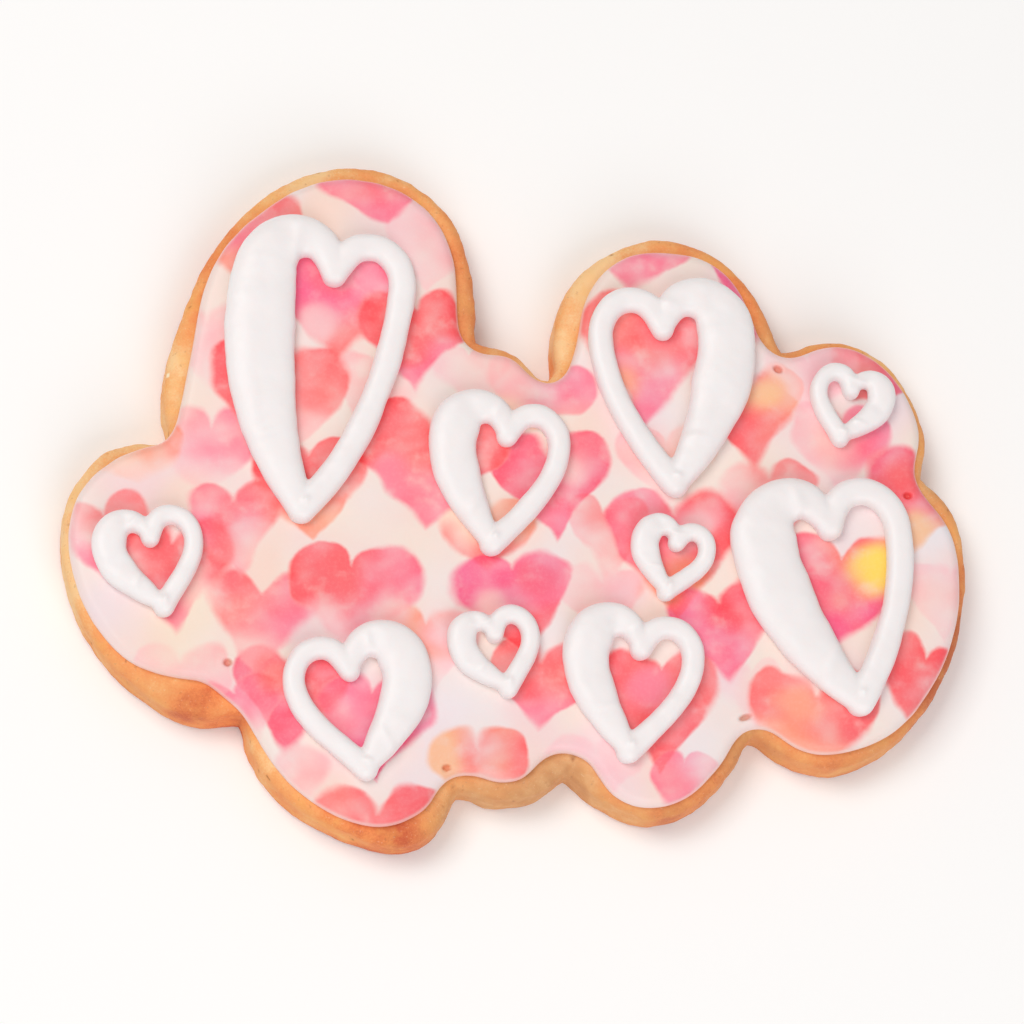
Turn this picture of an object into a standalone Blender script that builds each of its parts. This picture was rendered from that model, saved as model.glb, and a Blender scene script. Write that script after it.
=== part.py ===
"""An iced butter biscuit: a cloud of nine lobes, a sheet of base icing and ten piped hearts.

The outline and the sizes are in millimetres and become metres when a mesh is made.
The biscuit lies on its flat underside at z = 0, with +X along its length.
"""
import math

import bmesh
import bpy
import numpy as np

MM = 0.001

# Heights of the three layers, and the gap that touching pieces keep.
BISCUIT_THICK = 6.5
ICING_TOP = 8.1
PIPING_TOP = 11.0
TOUCH_GAP = 0.3

# The biscuit's edges: round below and above, with a side that leans in a little.
BOTTOM_ROUND = 0.9
TOP_ROUND = 1.5
SIDE_LEAN = 0.2

# The base icing's edge: tucked under at its foot, round above.
ICING_TUCK = 0.3
ICING_ROUND = 0.9

# The piped bead: how far its foot draws in, where it is widest, how square its dome is.
BEAD_FOOT = 0.06
BEAD_WIDEST = 0.30
BEAD_SQUARENESS = 2.4
THIN_BEAD = (2.5, 1.8)
THICK_BEAD_WIDTH = 8.0

# How finely the outline and the beads are cut into faces.
OUTLINE_POINTS = 192
PATH_STEP = 2.6
FEWEST_PATH_POINTS = 12
END_STEPS = 3
LAST_END_ANGLE = math.radians(84.0)
BEAD_POINTS = 9

# A bead's width from the cleft to the tip, as (share of the way, share of the full width).
THICK_SWELL = [(0.0, 0.36), (0.10, 0.54), (0.34, 1.0), (0.62, 0.97), (0.85, 0.66), (1.0, 0.38)]
THIN_SWELL = [(0.0, 0.95), (0.12, 1.0), (0.60, 0.96), (1.0, 1.05)]

# Rounding of the notches between lobes, as the reach of a running average.
NOTCH_SOFTNESS = 1.1
ICING_SOFTNESS = 0.9
FINE_POINTS = 1400

# Each lobe clockwise from above: (x, y, bare crust between the biscuit's edge and the icing).
LOBES = {
    "tall_left": [
        (-45.3, 8.0, 1.6), (-45.2, 16.0, 3.0), (-40.8, 30.0, 1.5), (-35.8, 37.3, 1.6),
        (-29.0, 42.7, 2.1), (-21.9, 44.7, 2.3), (-14.5, 43.2, 2.3), (-8.9, 38.9, 2.4),
        (-6.0, 32.7, 2.4), (-4.4, 22.0, 3.3)],
    "small_top": [(-0.9, 20.6, 1.2), (4.0, 17.4, 2.4)],
    "tall_middle": [
        (4.2, 22.2, 3.4), (5.8, 28.0, 2.9), (9.4, 32.4, 2.1), (14.1, 35.3, 2.1), (19.9, 36.2, 2.3),
        (25.4, 34.4, 1.9), (30.1, 30.3, 2.0), (34.6, 22.3, 3.1)],
    "upper_right": [
        (38.3, 22.9, 1.3), (42.6, 23.1, 1.3), (47.4, 20.8, 1.3), (50.9, 16.5, 1.2), (53.1, 10.5, 1.2),
        (52.9, 5.1, 2.4)],
    "right": [
        (55.2, 2.5, 2.4), (57.3, -2.0, 1.8), (57.8, -8.5, 1.3), (56.5, -17.0, 1.1), (53.0, -24.5, 1.1),
        (47.5, -30.5, 1.3), (41.0, -33.6, 1.9), (35.2, -32.8, 1.3), (30.0, -30.4, 2.5)],
    "low_middle": [
        (27.6, -33.9, 1.9), (23.2, -38.3, 1.6), (17.2, -40.6, 1.2), (11.2, -38.8, 1.2), (6.1, -35.7, 4.2)],
    "low_small": [(2.0, -38.0, 2.6), (-2.0, -38.6, 2.1), (-7.0, -38.2, 3.3)],
    "low_left": [
        (-9.0, -41.4, 2.7), (-11.6, -44.0, 3.2), (-15.5, -44.7, 2.6), (-21.2, -43.4, 1.6),
        (-27.1, -40.4, 1.6), (-31.9, -35.9, 1.7), (-35.4, -29.2, 1.3)],
    "left": [
        (-39.5, -29.0, 4.6), (-44.6, -27.4, 3.9), (-49.9, -23.4, 1.8), (-54.2, -18.0, 1.2),
        (-57.0, -11.5, 1.1), (-57.8, -5.0, 1.1), (-56.6, 0.3, 1.3), (-53.0, 5.2, 1.9), (-49.2, 7.0, 1.8),
        (-45.3, 7.6, 1.2)],
}

# Pinholes in the base icing: (x, y, half length, half width, turn in degrees).
PITS = [
    (-36.5, -22.0, 0.60, 0.55, 0.0),
    (-9.1, -34.8, 0.60, 0.50, 0.0),
    (28.5, -27.5, 0.90, 0.45, 20.0),
    (49.8, 1.9, 0.60, 0.50, 0.0),
    (33.3, 18.2, 0.70, 0.50, -30.0),
]
PIT_DEPTH = 0.7

# Piped hearts, by the middle line of their bead:
# (x, y, width, height, turn in degrees, thick bead, thin bead, which half is thick).
HEARTS = {
    "piped_heart_tall_left": (-25.4, 15.4, 17.7, 35.5, -7.0, 9.0, 3.6, "left"),
    "piped_heart_tall_middle": (18.9, 14.6, 16.2, 24.5, 4.0, 7.6, 3.3, "right"),
    "piped_heart_far_right": (40.9, -12.0, 17.4, 27.0, 9.0, 8.6, 3.6, "left"),
    "piped_heart_middle": (-2.4, 2.6, 13.6, 17.5, -8.0, 6.2, 3.0, "left"),
    "piped_heart_low_left": (-20.6, -27.4, 14.2, 16.0, 10.0, 6.4, 3.0, "right"),
    "piped_heart_low_middle": (14.6, -24.2, 13.6, 16.5, -7.0, 6.0, 3.0, "left"),
    "piped_heart_left": (-45.8, -9.6, 10.6, 11.5, 12.0, 4.4, 2.6, "left"),
    "piped_heart_upper_right": (42.0, 13.2, 8.2, 8.4, -14.0, 3.6, 2.4, "right"),
    "piped_heart_low_centre": (-2.6, -20.2, 8.8, 9.2, 14.0, 3.8, 2.5, "left"),
    "piped_heart_centre_right": (19.4, -7.6, 8.0, 8.4, -12.0, 3.7, 2.4, "left"),
}

CRUST_COLOUR = (0.90, 0.43, 0.18, 1.0)
ICING_COLOUR = (0.93, 0.45, 0.44, 1.0)
PIPING_COLOUR = (0.90, 0.84, 0.83, 1.0)


def clear_scene():
    """Remove every object, so that the model starts from nothing."""
    for thing in list(bpy.data.objects):
        bpy.data.objects.remove(thing, do_unlink=True)


def make_material(name, colour, roughness):
    """Return a plain material with one colour and roughness."""
    material = bpy.data.materials.new(name)
    material.use_nodes = True
    shader = material.node_tree.nodes["Principled BSDF"]
    shader.inputs["Base Color"].default_value = colour
    shader.inputs["Roughness"].default_value = roughness
    shader.inputs["Metallic"].default_value = 0.0
    return material


def smooth_run(points, step=0.25):
    """Return a cubic curve through the points, with slopes from its neighbours on a root-chord scale."""
    rows = np.array(points, float)
    chord = np.linalg.norm(np.diff(rows[:, :2], axis=0), axis=1)
    knots = np.concatenate([[0.0], np.cumsum(np.sqrt(chord))])
    slopes = np.gradient(rows, knots, axis=0)
    pieces = []
    for i, length in enumerate(chord):
        s = np.arange(0.0, 1.0, step / length)[:, None]
        span = knots[i + 1] - knots[i]
        pieces.append(
            (2 * s**3 - 3 * s**2 + 1) * rows[i]
            + (s**3 - 2 * s**2 + s) * span * slopes[i]
            + (3 * s**2 - 2 * s**3) * rows[i + 1]
            + (s**3 - s**2) * span * slopes[i + 1])
    return np.vstack(pieces)


def even_loop(loop, count):
    """Return the closed loop cut into equal steps, and its length."""
    ring = np.vstack([loop, loop[:1]])
    along = np.concatenate([[0.0], np.cumsum(np.linalg.norm(np.diff(ring[:, :2], axis=0), axis=1))])
    stops = np.linspace(0.0, along[-1], count, endpoint=False)
    columns = [np.interp(stops, along, ring[:, k]) for k in range(ring.shape[1])]
    return np.stack(columns, axis=1), along[-1]


def soften(loop, reach, length):
    """Return the closed loop after a running average with a bell-shaped weight of the given reach."""
    frequency = np.fft.rfftfreq(len(loop), d=length / len(loop))
    gain = np.exp(-2.0 * (math.pi * frequency * reach) ** 2)[:, None]
    return np.fft.irfft(np.fft.rfft(loop, axis=0) * gain, n=len(loop), axis=0)


def inward_normals(loop):
    """Return the unit vectors that point into a clockwise loop."""
    tangent = np.roll(loop, -1, axis=0) - np.roll(loop, 1, axis=0)
    tangent /= np.linalg.norm(tangent, axis=1)[:, None]
    return np.stack([tangent[:, 1], -tangent[:, 0]], axis=1)


def centred_outlines():
    """Return the biscuit's and the base icing's edges, both around the middle of the biscuit's box."""
    runs = list(LOBES.values())
    joined = np.vstack([smooth_run([runs[i - 1][-1]] + runs[i]) for i in range(len(runs))])
    loop, length = even_loop(joined, FINE_POINTS)
    loop = soften(loop, NOTCH_SOFTNESS, length)
    edge = loop[:, :2]
    icing, length = even_loop(edge + inward_normals(edge) * loop[:, 2:3], FINE_POINTS)
    icing = soften(icing, ICING_SOFTNESS, length)
    middle = (edge.max(axis=0) + edge.min(axis=0)) / 2.0
    return edge - middle, icing - middle


def stacked_rings(loop, profile):
    """Return rings of the loop, each moved inwards and lifted by one (inset, height) of the profile."""
    edge, _ = even_loop(loop, OUTLINE_POINTS)
    normals = inward_normals(edge)
    rings = []
    for inset, height in profile:
        flat = edge + normals * inset
        rings.append(np.column_stack([flat, np.full(len(flat), height)]))
    return rings


def quarter_turn(steps):
    """Return (1 - cos, 1 - sin) pairs from 90 degrees down to 0."""
    angles = [math.radians(90.0 * (1.0 - k / steps)) for k in range(steps + 1)]
    return [(1.0 - math.cos(a), 1.0 - math.sin(a)) for a in angles]


def biscuit_profile():
    """Return the biscuit's side as (inset, height) from the underside to the top."""
    low = [(BOTTOM_ROUND * a, BOTTOM_ROUND * b) for a, b in quarter_turn(3)]
    high = [
        (SIDE_LEAN + TOP_ROUND * a, BISCUIT_THICK - TOP_ROUND * b)
        for a, b in reversed(quarter_turn(4))]
    return low + high


def icing_profile():
    """Return the base icing's side as (inset, height) from its foot to its top."""
    foot = BISCUIT_THICK + TOUCH_GAP
    shoulder = ICING_TOP - ICING_ROUND
    widest = (foot + shoulder) / 2.0
    high = [(ICING_ROUND * 1.4 * a, ICING_TOP - ICING_ROUND * b) for a, b in reversed(quarter_turn(3))]
    return [(ICING_TUCK, foot), (0.05, widest)] + high


def mesh_object(name, vertices, faces, material):
    """Return a smooth-shaded object from points in millimetres, its faces turned outwards."""
    mesh = bpy.data.meshes.new(name)
    mesh.from_pydata([tuple(v) for v in np.asarray(vertices) * MM], [], faces)
    shape = bmesh.new()
    shape.from_mesh(mesh)
    bmesh.ops.recalc_face_normals(shape, faces=shape.faces)
    shape.to_mesh(mesh)
    shape.free()
    mesh.shade_smooth()
    mesh.set_sharp_from_angle(angle=math.radians(50.0))
    mesh.materials.append(material)
    thing = bpy.data.objects.new(name, mesh)
    bpy.context.scene.collection.objects.link(thing)
    return thing


def solid_from_rings(name, rings, material):
    """Return a closed solid whose side runs through the rings, with its first and last ring filled."""
    count = len(rings[0])
    faces = [tuple(range(count))]
    for level in range(len(rings) - 1):
        low = level * count
        high = low + count
        for i in range(count):
            j = (i + 1) % count
            faces.append((low + i, low + j, high + j, high + i))
    last = (len(rings) - 1) * count
    faces.append(tuple(range(last, last + count)))
    return mesh_object(name, np.vstack(rings), faces, material)


def heart_half(width, height):
    """Return the middle line of a heart's left half, from the cleft over the hump to the tip.

    It is three cubic pieces: slanting up from the cleft to the hump's top, round to the widest
    point, and down in a long easy curve to the tip.  The hump is round, with a quarter of the
    width as its radius.
    """
    hump = width / 4.0
    top = height / 2.0
    stops = np.array([
        (0.0, top - 0.95 * hump), (-hump, top), (-width / 2.0, top - 1.25 * hump), (0.0, -top)])
    drop = np.linalg.norm(stops[3] - stops[2])
    leave = np.array([(-0.75 * hump, 1.75 * hump), (-1.7 * hump, 0.0), (0.0, -0.95 * drop)])
    arrive = np.array([(-1.7 * hump, 0.0), (0.0, -2.1 * hump), (0.62 * drop, -0.80 * drop)])
    s = np.linspace(0.0, 1.0, 60, endpoint=False)[:, None]
    pieces = [
        (2 * s**3 - 3 * s**2 + 1) * stops[k]
        + (s**3 - 2 * s**2 + s) * leave[k]
        + (3 * s**2 - 2 * s**3) * stops[k + 1]
        + (s**3 - s**2) * arrive[k]
        for k in range(3)]
    return np.vstack(pieces + [stops[3:]])


def even_path(path, count):
    """Return the open path cut into equal steps."""
    along = np.concatenate([[0.0], np.cumsum(np.linalg.norm(np.diff(path, axis=0), axis=1))])
    stops = np.linspace(0.0, along[-1], count)
    return np.column_stack([np.interp(stops, along, path[:, k]) for k in range(2)])


def bead(name, path, widths, material):
    """Return a bead of icing along a path: a domed section with round ends and a flat foot.

    At an end the section shrinks by the cosine of a growing angle while it moves on by the sine.
    """
    tangent = np.gradient(path, axis=0)
    tangent /= np.linalg.norm(tangent, axis=1)[:, None]
    side = np.column_stack([-tangent[:, 1], tangent[:, 0]])
    foot = ICING_TOP + TOUCH_GAP
    rise = np.interp(widths, [THIN_BEAD[0], THICK_BEAD_WIDTH], [THIN_BEAD[1], PIPING_TOP - foot])

    cap = LAST_END_ANGLE * np.arange(1, END_STEPS + 1) / END_STEPS
    turn = np.concatenate([cap[::-1], np.zeros(len(path)), cap])
    first = path[0] - np.outer(np.sin(cap[::-1]), tangent[0]) * widths[0] / 2.0
    last = path[-1] + np.outer(np.sin(cap), tangent[-1]) * widths[-1] / 2.0
    middle = np.vstack([first, path, last])
    ends = (END_STEPS, END_STEPS)
    across = np.pad(side, (ends, (0, 0)), mode="edge")
    width = np.pad(widths, ends, mode="edge") * np.cos(turn)
    height = np.pad(rise, ends, mode="edge") * np.cos(turn) ** 0.6

    share, lift = np.array(bead_section()).T
    flat = middle[:, None, :] + across[:, None, :] * (width[:, None] * (share - 0.5))[:, :, None]
    heights = foot + height[:, None] * lift
    rings = np.concatenate([flat, heights[:, :, None]], axis=2)
    return solid_from_rings(name, list(rings), material)


def piped_heart(name, sizes, material):
    """Return one piped heart: a thick and a thin bead that flow together at the cleft and the tip."""
    x, y, width, height, turn, thick, thin, thick_half = sizes
    angle = math.radians(turn)
    spin = np.array([[math.cos(angle), math.sin(angle)], [-math.sin(angle), math.cos(angle)]])
    half = heart_half(width, height)
    length = np.linalg.norm(np.diff(half, axis=0), axis=1).sum()
    half = even_path(half, max(FEWEST_PATH_POINTS, round(length / PATH_STEP)))
    way = np.linspace(0.0, 1.0, len(half))
    beads = []
    for side, mirror in (("left", 1.0), ("right", -1.0)):
        full, swell = (thick, THICK_SWELL) if side == thick_half else (thin, THIN_SWELL)
        widths = full * np.interp(way, *zip(*swell))
        path = (half * np.array([mirror, 1.0])) @ spin + np.array([x, y])
        beads.append(bead(name if side == "left" else name + "_other_half", path, widths, material))
    return join_beads(*beads)


def join_beads(heart, other):
    """Join the two beads of a heart into one body and return it."""
    union = heart.modifiers.new("flow_together", "BOOLEAN")
    union.operation = "UNION"
    union.solver = "EXACT"
    union.object = other
    view = bpy.context.evaluated_depsgraph_get()
    view.update()
    joined = bpy.data.meshes.new_from_object(heart.evaluated_get(view))
    heart.modifiers.clear()
    heart.data = joined
    bpy.data.objects.remove(other, do_unlink=True)
    return heart


def bead_section():
    """Return the bead's section as (share across, share of the height), from outer foot to inner foot.

    The dome is a superellipse above the widest height, and the foot draws in below it.
    """
    section = [(BEAD_FOOT, 0.0)]
    arc_points = BEAD_POINTS - 2
    for k in range(arc_points):
        a = math.pi * k / (arc_points - 1)
        c, s = math.cos(a), math.sin(a)
        across = 0.5 - 0.5 * math.copysign(abs(c) ** (2.0 / BEAD_SQUARENESS), c)
        lift = BEAD_WIDEST + (1.0 - BEAD_WIDEST) * max(s, 0.0) ** (2.0 / BEAD_SQUARENESS)
        section.append((across, lift))
    section.append((1.0 - BEAD_FOOT, 0.0))
    return section


def pit_cutter():
    """Return the hidden cutter: one flattened ball for each pinhole, half sunk in the icing."""
    shape = bmesh.new()
    for x, y, long_half, wide_half, turn in PITS:
        made = bmesh.ops.create_uvsphere(shape, u_segments=8, v_segments=6, radius=1.0)
        angle = math.radians(turn)
        for vertex in made["verts"]:
            px, py, pz = vertex.co
            px, py = px * long_half, py * wide_half
            vertex.co.x = (x + px * math.cos(angle) - py * math.sin(angle)) * MM
            vertex.co.y = (y + px * math.sin(angle) + py * math.cos(angle)) * MM
            vertex.co.z = (ICING_TOP + pz * PIT_DEPTH) * MM
    mesh = bpy.data.meshes.new("pit_cutter")
    shape.to_mesh(mesh)
    shape.free()
    cutter = bpy.data.objects.new("pit_cutter", mesh)
    cutter.hide_render = True
    cutter.display_type = "WIRE"
    bpy.context.scene.collection.objects.link(cutter)
    return cutter


def main():
    """Build the biscuit, its base icing and the piped hearts."""
    clear_scene()
    crust = make_material("crust", CRUST_COLOUR, 0.75)
    icing = make_material("printed_icing", ICING_COLOUR, 0.5)
    piping = make_material("white_piping", PIPING_COLOUR, 0.4)

    biscuit_edge, icing_edge = centred_outlines()
    solid_from_rings("biscuit", stacked_rings(biscuit_edge, biscuit_profile()), crust)
    sheet = solid_from_rings("base_icing", stacked_rings(icing_edge, icing_profile()), icing)
    pits = sheet.modifiers.new("pits", "BOOLEAN")
    pits.operation = "DIFFERENCE"
    pits.solver = "EXACT"
    pits.object = pit_cutter()

    for name, sizes in HEARTS.items():
        piped_heart(name, sizes, piping)


main()
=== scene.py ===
"""The looks of an iced butter biscuit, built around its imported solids.

The baked biscuit, its printed base icing and the ten piped hearts each replace their own solid.
Lengths are in millimetres on the bench and become metres when a mesh is made.
"""
from __future__ import annotations

import logging
import math
from dataclasses import dataclass
from enum import Enum
from typing import Any, Sequence

import bpy
import numpy as np
from mathutils import Matrix, Vector
from mathutils.geometry import delaunay_2d_cdt


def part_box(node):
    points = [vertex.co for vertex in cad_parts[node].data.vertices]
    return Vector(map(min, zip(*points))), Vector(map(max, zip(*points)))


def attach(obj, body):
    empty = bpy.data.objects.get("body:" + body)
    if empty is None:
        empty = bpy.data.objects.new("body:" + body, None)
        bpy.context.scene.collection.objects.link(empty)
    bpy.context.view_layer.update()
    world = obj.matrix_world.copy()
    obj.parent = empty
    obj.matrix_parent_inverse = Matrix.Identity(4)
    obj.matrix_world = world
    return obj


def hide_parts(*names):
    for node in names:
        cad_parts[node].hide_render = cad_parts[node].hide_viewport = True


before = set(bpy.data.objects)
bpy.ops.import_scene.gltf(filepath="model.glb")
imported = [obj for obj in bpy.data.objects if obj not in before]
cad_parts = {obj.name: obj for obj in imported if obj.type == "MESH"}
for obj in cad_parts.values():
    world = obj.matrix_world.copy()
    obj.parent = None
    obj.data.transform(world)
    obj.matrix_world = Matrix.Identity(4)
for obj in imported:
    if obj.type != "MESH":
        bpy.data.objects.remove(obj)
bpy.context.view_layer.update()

Array = np.ndarray
LOG = logging.getLogger("biscuit")

MM = 0.001
BODY = "root"


# Colour


def screen_colour(rgb: Sequence[float]) -> Array:
    """Return a colour given as it looks on a screen, 0 to 255, as linear light from 0 to 1.

    Args:
        rgb: red, green and blue from 0 to 255.

    Returns:
        Three linear values: the low end is divided by 12.92, the rest follows a power of 2.4.
    """
    share = np.asarray(rgb, float) / 255.0
    return np.where(share <= 0.04045, share / 12.92, ((share + 0.055) / 1.055) ** 2.4)


class Pigment(Enum):
    """Food colours and icing tints, as each looks on the finished biscuit."""

    CORAL_RED = (252, 106, 114)
    CORAL = (252, 134, 136)
    ROSE = (250, 112, 138)
    MAGENTA = (250, 104, 150)
    PINK = (252, 138, 162)
    PEACH = (253, 170, 148)
    APRICOT = (251, 196, 154)
    ORANGE = (253, 150, 122)
    YELLOW = (255, 224, 104)
    PALE_ROSE = (249, 198, 201)
    PALE_PINK = (247, 214, 216)
    PALE_PEACH = (250, 217, 203)
    PALE_YELLOW = (250, 225, 184)
    CREAM = (246, 229, 217)
    LAVENDER = (239, 221, 228)
    COOL_WHITE = (239, 232, 236)
    WARM_WHITE = (243, 229, 226)

    def light(self) -> Array:
        """Return the colour as linear light."""
        return screen_colour(self.value)

    def ink(self) -> Array:
        """Return the logarithm of the light that the pigment lets through on white icing."""
        return np.log(self.light() / Pigment.WARM_WHITE.light())


# Noise and smoothing on whole arrays


def ripple(points: Array, grain: float, seed: int, waves: int = 28) -> Array:
    """Return a smooth random field over the points, mostly between -1 and 1.

    It is a sum of plane waves, cos(2 pi (k . p) + phase), in random directions and with
    wavelengths from 1 to 2.6 grains, divided by the root of their number.

    Args:
        points: one row of two or three coordinates for each point, in millimetres.
        grain: the size of the smallest bumps, in millimetres.
        seed: fixes the draw.
        waves: how many waves are added up.

    Returns:
        One value for each point.
    """
    draw = np.random.default_rng(seed)
    heading = draw.normal(size=(points.shape[1], waves))
    heading /= np.linalg.norm(heading, axis=0)
    turns = heading / (grain * draw.uniform(1.0, 2.6, waves))
    phase = draw.uniform(0.0, 2.0 * math.pi, waves)
    return np.cos(2.0 * math.pi * points @ turns + phase).sum(axis=1) / math.sqrt(waves)


def ease(low: float, high: float, values: Array) -> Array:
    """Return 0 below low, 1 above high and the smooth step 3t^2 - 2t^3 between them."""
    t = np.clip((values - low) / (high - low), 0.0, 1.0)
    return t * t * (3.0 - 2.0 * t)


def soften(values: Array, reach: float, step: float) -> Array:
    """Return values round a closed loop after an average with a bell-shaped weight.

    Args:
        values: one row for each step of the loop.
        reach: the bell's reach, in millimetres.
        step: the length of a step, in millimetres.

    Returns:
        The averaged rows: each wave of the loop is scaled by exp(-2 (pi f reach)^2).
    """
    frequency = np.fft.rfftfreq(len(values), d=step)
    gain = np.exp(-2.0 * (math.pi * frequency * reach) ** 2)
    waves = np.fft.rfft(values, axis=0)
    gain = gain.reshape((-1,) + (1,) * (values.ndim - 1))
    return np.fft.irfft(waves * gain, n=len(values), axis=0)


def drift(points: Array, grain: float, seed: int) -> Array:
    """Return a smooth random shift for each point, as rows of two, each mostly between -1 and 1."""
    return np.column_stack([ripple(points, grain, seed), ripple(points, grain, seed + 1)])


def bell(points: Array, x: float, y: float, reach: float) -> Array:
    """Return 1 at a spot, falling with the distance d from it by exp(-d^2 / (2 reach^2))."""
    away = ((points[:, :2] - (x, y)) ** 2).sum(axis=1)
    return np.exp(-away / (2.0 * reach**2))


def turning(degrees: float) -> Array:
    """Return the matrix that turns rows of (x, y) counter-clockwise when they are multiplied by it."""
    angle = math.radians(degrees)
    return np.array([[math.cos(angle), math.sin(angle)], [-math.sin(angle), math.cos(angle)]])


def headings(path: Array) -> Array:
    """Return the unit vectors along a path."""
    along = np.gradient(path, axis=0)
    return along / np.linalg.norm(along, axis=1)[:, None]


# Meshes


def hex_lattice(low: Array, high: Array, pitch: float) -> Array:
    """Return a lattice of even triangles over a box; every second row is moved half a pitch.

    Args:
        low: the box's low corner.
        high: its high corner.
        pitch: the side of a triangle.

    Returns:
        Rows of two.
    """
    rows = np.arange(low[1], high[1], pitch * math.sqrt(3.0) / 2.0)
    columns = np.arange(low[0], high[0], pitch)
    x, y = np.meshgrid(columns, rows)
    x[1::2] += pitch / 2.0
    return np.column_stack([x.ravel(), y.ravel()])


def fill(ring: Array, inner: Array) -> Array:
    """Return triangles over a clockwise ring and the points inside it, facing up.

    The triangulation also covers the hollows of the hull; a triangle there has all its corners on
    the ring and meets them in the ring's own order.

    Args:
        ring: the ring's points.
        inner: the points inside it.

    Returns:
        Rows of three numbers: the ring's points come first, then the inner ones.
    """
    points = np.vstack([ring, inner])
    count = len(ring)
    steps = np.arange(count)
    edges = np.column_stack([steps, np.roll(steps, -1)])
    made = np.array(delaunay_2d_cdt(points.tolist(), edges.tolist(), [], 1, 1e-7, False)[2])
    on_ring = (made < count).all(axis=1)
    in_order = (made[:, 1] - made[:, 0]) % count < (made[:, 2] - made[:, 0]) % count
    return made[~(on_ring & in_order)]


def ring_faces(rings: int, count: int) -> Array:
    """Return the quads between rings that are clockwise from above and stacked upwards.

    Args:
        rings: how many rings there are.
        count: how many points a ring has.

    Returns:
        Rows of four numbers.
    """
    here = np.arange(count)
    after = np.roll(here, -1)
    low = count * np.arange(rings - 1)[:, None]
    quads = np.stack([low + here, low + count + here, low + count + after, low + after], axis=2)
    return quads.reshape(-1, 4)


def closed_slab(side: Array, count: int, upper: Array, under: Array) -> tuple[Array, list]:
    """Return the points and faces of a slab that is closed above and below.

    Args:
        side: rings of points from the foot to the top, each clockwise from above.
        count: how many points a ring has.
        upper: flat points inside the last ring; they get its height.
        under: flat points inside the first ring; they get its height.

    Returns:
        The points, side first, and the faces, all facing out.
    """
    points = np.vstack([
        side,
        np.column_stack([upper, np.full(len(upper), side[-1, 2])]),
        np.column_stack([under, np.full(len(under), side[0, 2])])])
    last_ring = len(side) - count
    top_faces = fill(side[last_ring:, :2], upper) + last_ring
    under_faces = fill(side[:count, :2], under)[:, ::-1]
    under_faces[under_faces >= count] += last_ring + len(upper)
    quads = ring_faces(len(side) // count, count)
    return points, quads.tolist() + top_faces.tolist() + under_faces.tolist()


def mesh_object(name: str, points: Array, faces: list) -> bpy.types.Object:
    """Make a smooth-shaded object in the scene.

    Args:
        name: its name.
        points: the vertices, in millimetres.
        faces: the faces' corners.

    Returns:
        The object, at the origin.
    """
    mesh = bpy.data.meshes.new(name)
    mesh.from_pydata(points * MM, [], faces)
    mesh.shade_smooth()
    thing = bpy.data.objects.new(name, mesh)
    bpy.context.scene.collection.objects.link(thing)
    return thing


def read_points(mesh: bpy.types.Mesh, what: str = "co") -> Array:
    """Read the mesh's vertices.

    Args:
        mesh: the mesh.
        what: "co" for the places in metres, or "normal".

    Returns:
        One row for each vertex.
    """
    flat = np.empty(len(mesh.vertices) * 3, np.float32)
    mesh.vertices.foreach_get(what, flat)
    return flat.reshape(-1, 3).astype(float)


def write_points(mesh: bpy.types.Mesh, points: Array) -> None:
    """Move the mesh's vertices to the given places, in metres."""
    mesh.vertices.foreach_set("co", points.astype(np.float32).ravel())
    mesh.update()


def paint(mesh: bpy.types.Mesh, name: str, values: Array) -> None:
    """Keep one number or one linear colour for each vertex as a named attribute.

    Args:
        mesh: the mesh.
        name: the attribute's name.
        values: one number or row of three each.
    """
    if values.ndim == 1:
        mesh.attributes.new(name, "FLOAT", "POINT").data.foreach_set("value", values.astype(np.float32))
        return
    rows = np.column_stack([values, np.ones(len(values))]).astype(np.float32)
    mesh.attributes.new(name, "FLOAT_COLOR", "POINT").data.foreach_set("color", rows.ravel())


def place(piece: bpy.types.Object, material: bpy.types.Material, node: str) -> None:
    """Give the piece its material, let it ride on the body and stand for its solid.

    Args:
        piece: the finished object.
        material: its one material.
        node: the solid that it replaces.
    """
    piece.data.materials.append(material)
    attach(piece, BODY)
    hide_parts(node)
    LOG.info("%s: %d faces for %s", piece.name, len(piece.data.polygons), node)


# Edges read from the frame


def walk_round(pairs: Array) -> list[int]:
    """Return the corners of a closed ring in order.

    Args:
        pairs: rows of two corners that an edge joins.

    Returns:
        The numbers of the corners, from the first pair on.
    """
    joined: dict[int, list[int]] = {}
    for a, b in pairs.tolist():
        joined.setdefault(a, []).append(b)
        joined.setdefault(b, []).append(a)
    walk = pairs[0].tolist()
    while len(walk) < len(joined):
        walk.append(next(k for k in joined[walk[-1]] if k != walk[-2]))
    return walk


def widest_ring(node: str) -> Array:
    """Return the ring of corners where a solid is widest.

    The ring is at the height where the corners spread furthest along X. Edges that stay at that
    height join its corners, and the walk along them gives the order.

    Args:
        node: the solid's name in the frame.

    Returns:
        Rows of two (mm), clockwise from above.
    """
    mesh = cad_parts[node].data
    points = read_points(mesh) / MM
    levels, level_of = np.unique(points[:, 2].round(2), return_inverse=True)
    spread = [np.ptp(points[level_of == k, 0]) for k in range(len(levels))]
    keep = level_of == int(np.argmax(spread))
    ends = np.empty(len(mesh.edges) * 2, np.int32)
    mesh.edges.foreach_get("vertices", ends)
    ends = ends.reshape(-1, 2)
    ends = ends[keep[ends].all(axis=1)]
    corners, corner_of = np.unique(points[:, :2].round(3), axis=0, return_inverse=True)
    corner_of = corner_of.ravel()
    pairs = np.unique(np.sort(corner_of[ends], axis=1), axis=0)
    ring = corners[walk_round(pairs)]
    x, y = ring.T
    turn = np.sum(x * np.roll(y, -1) - np.roll(x, -1) * y)
    return ring if turn < 0.0 else ring[::-1]


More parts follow.
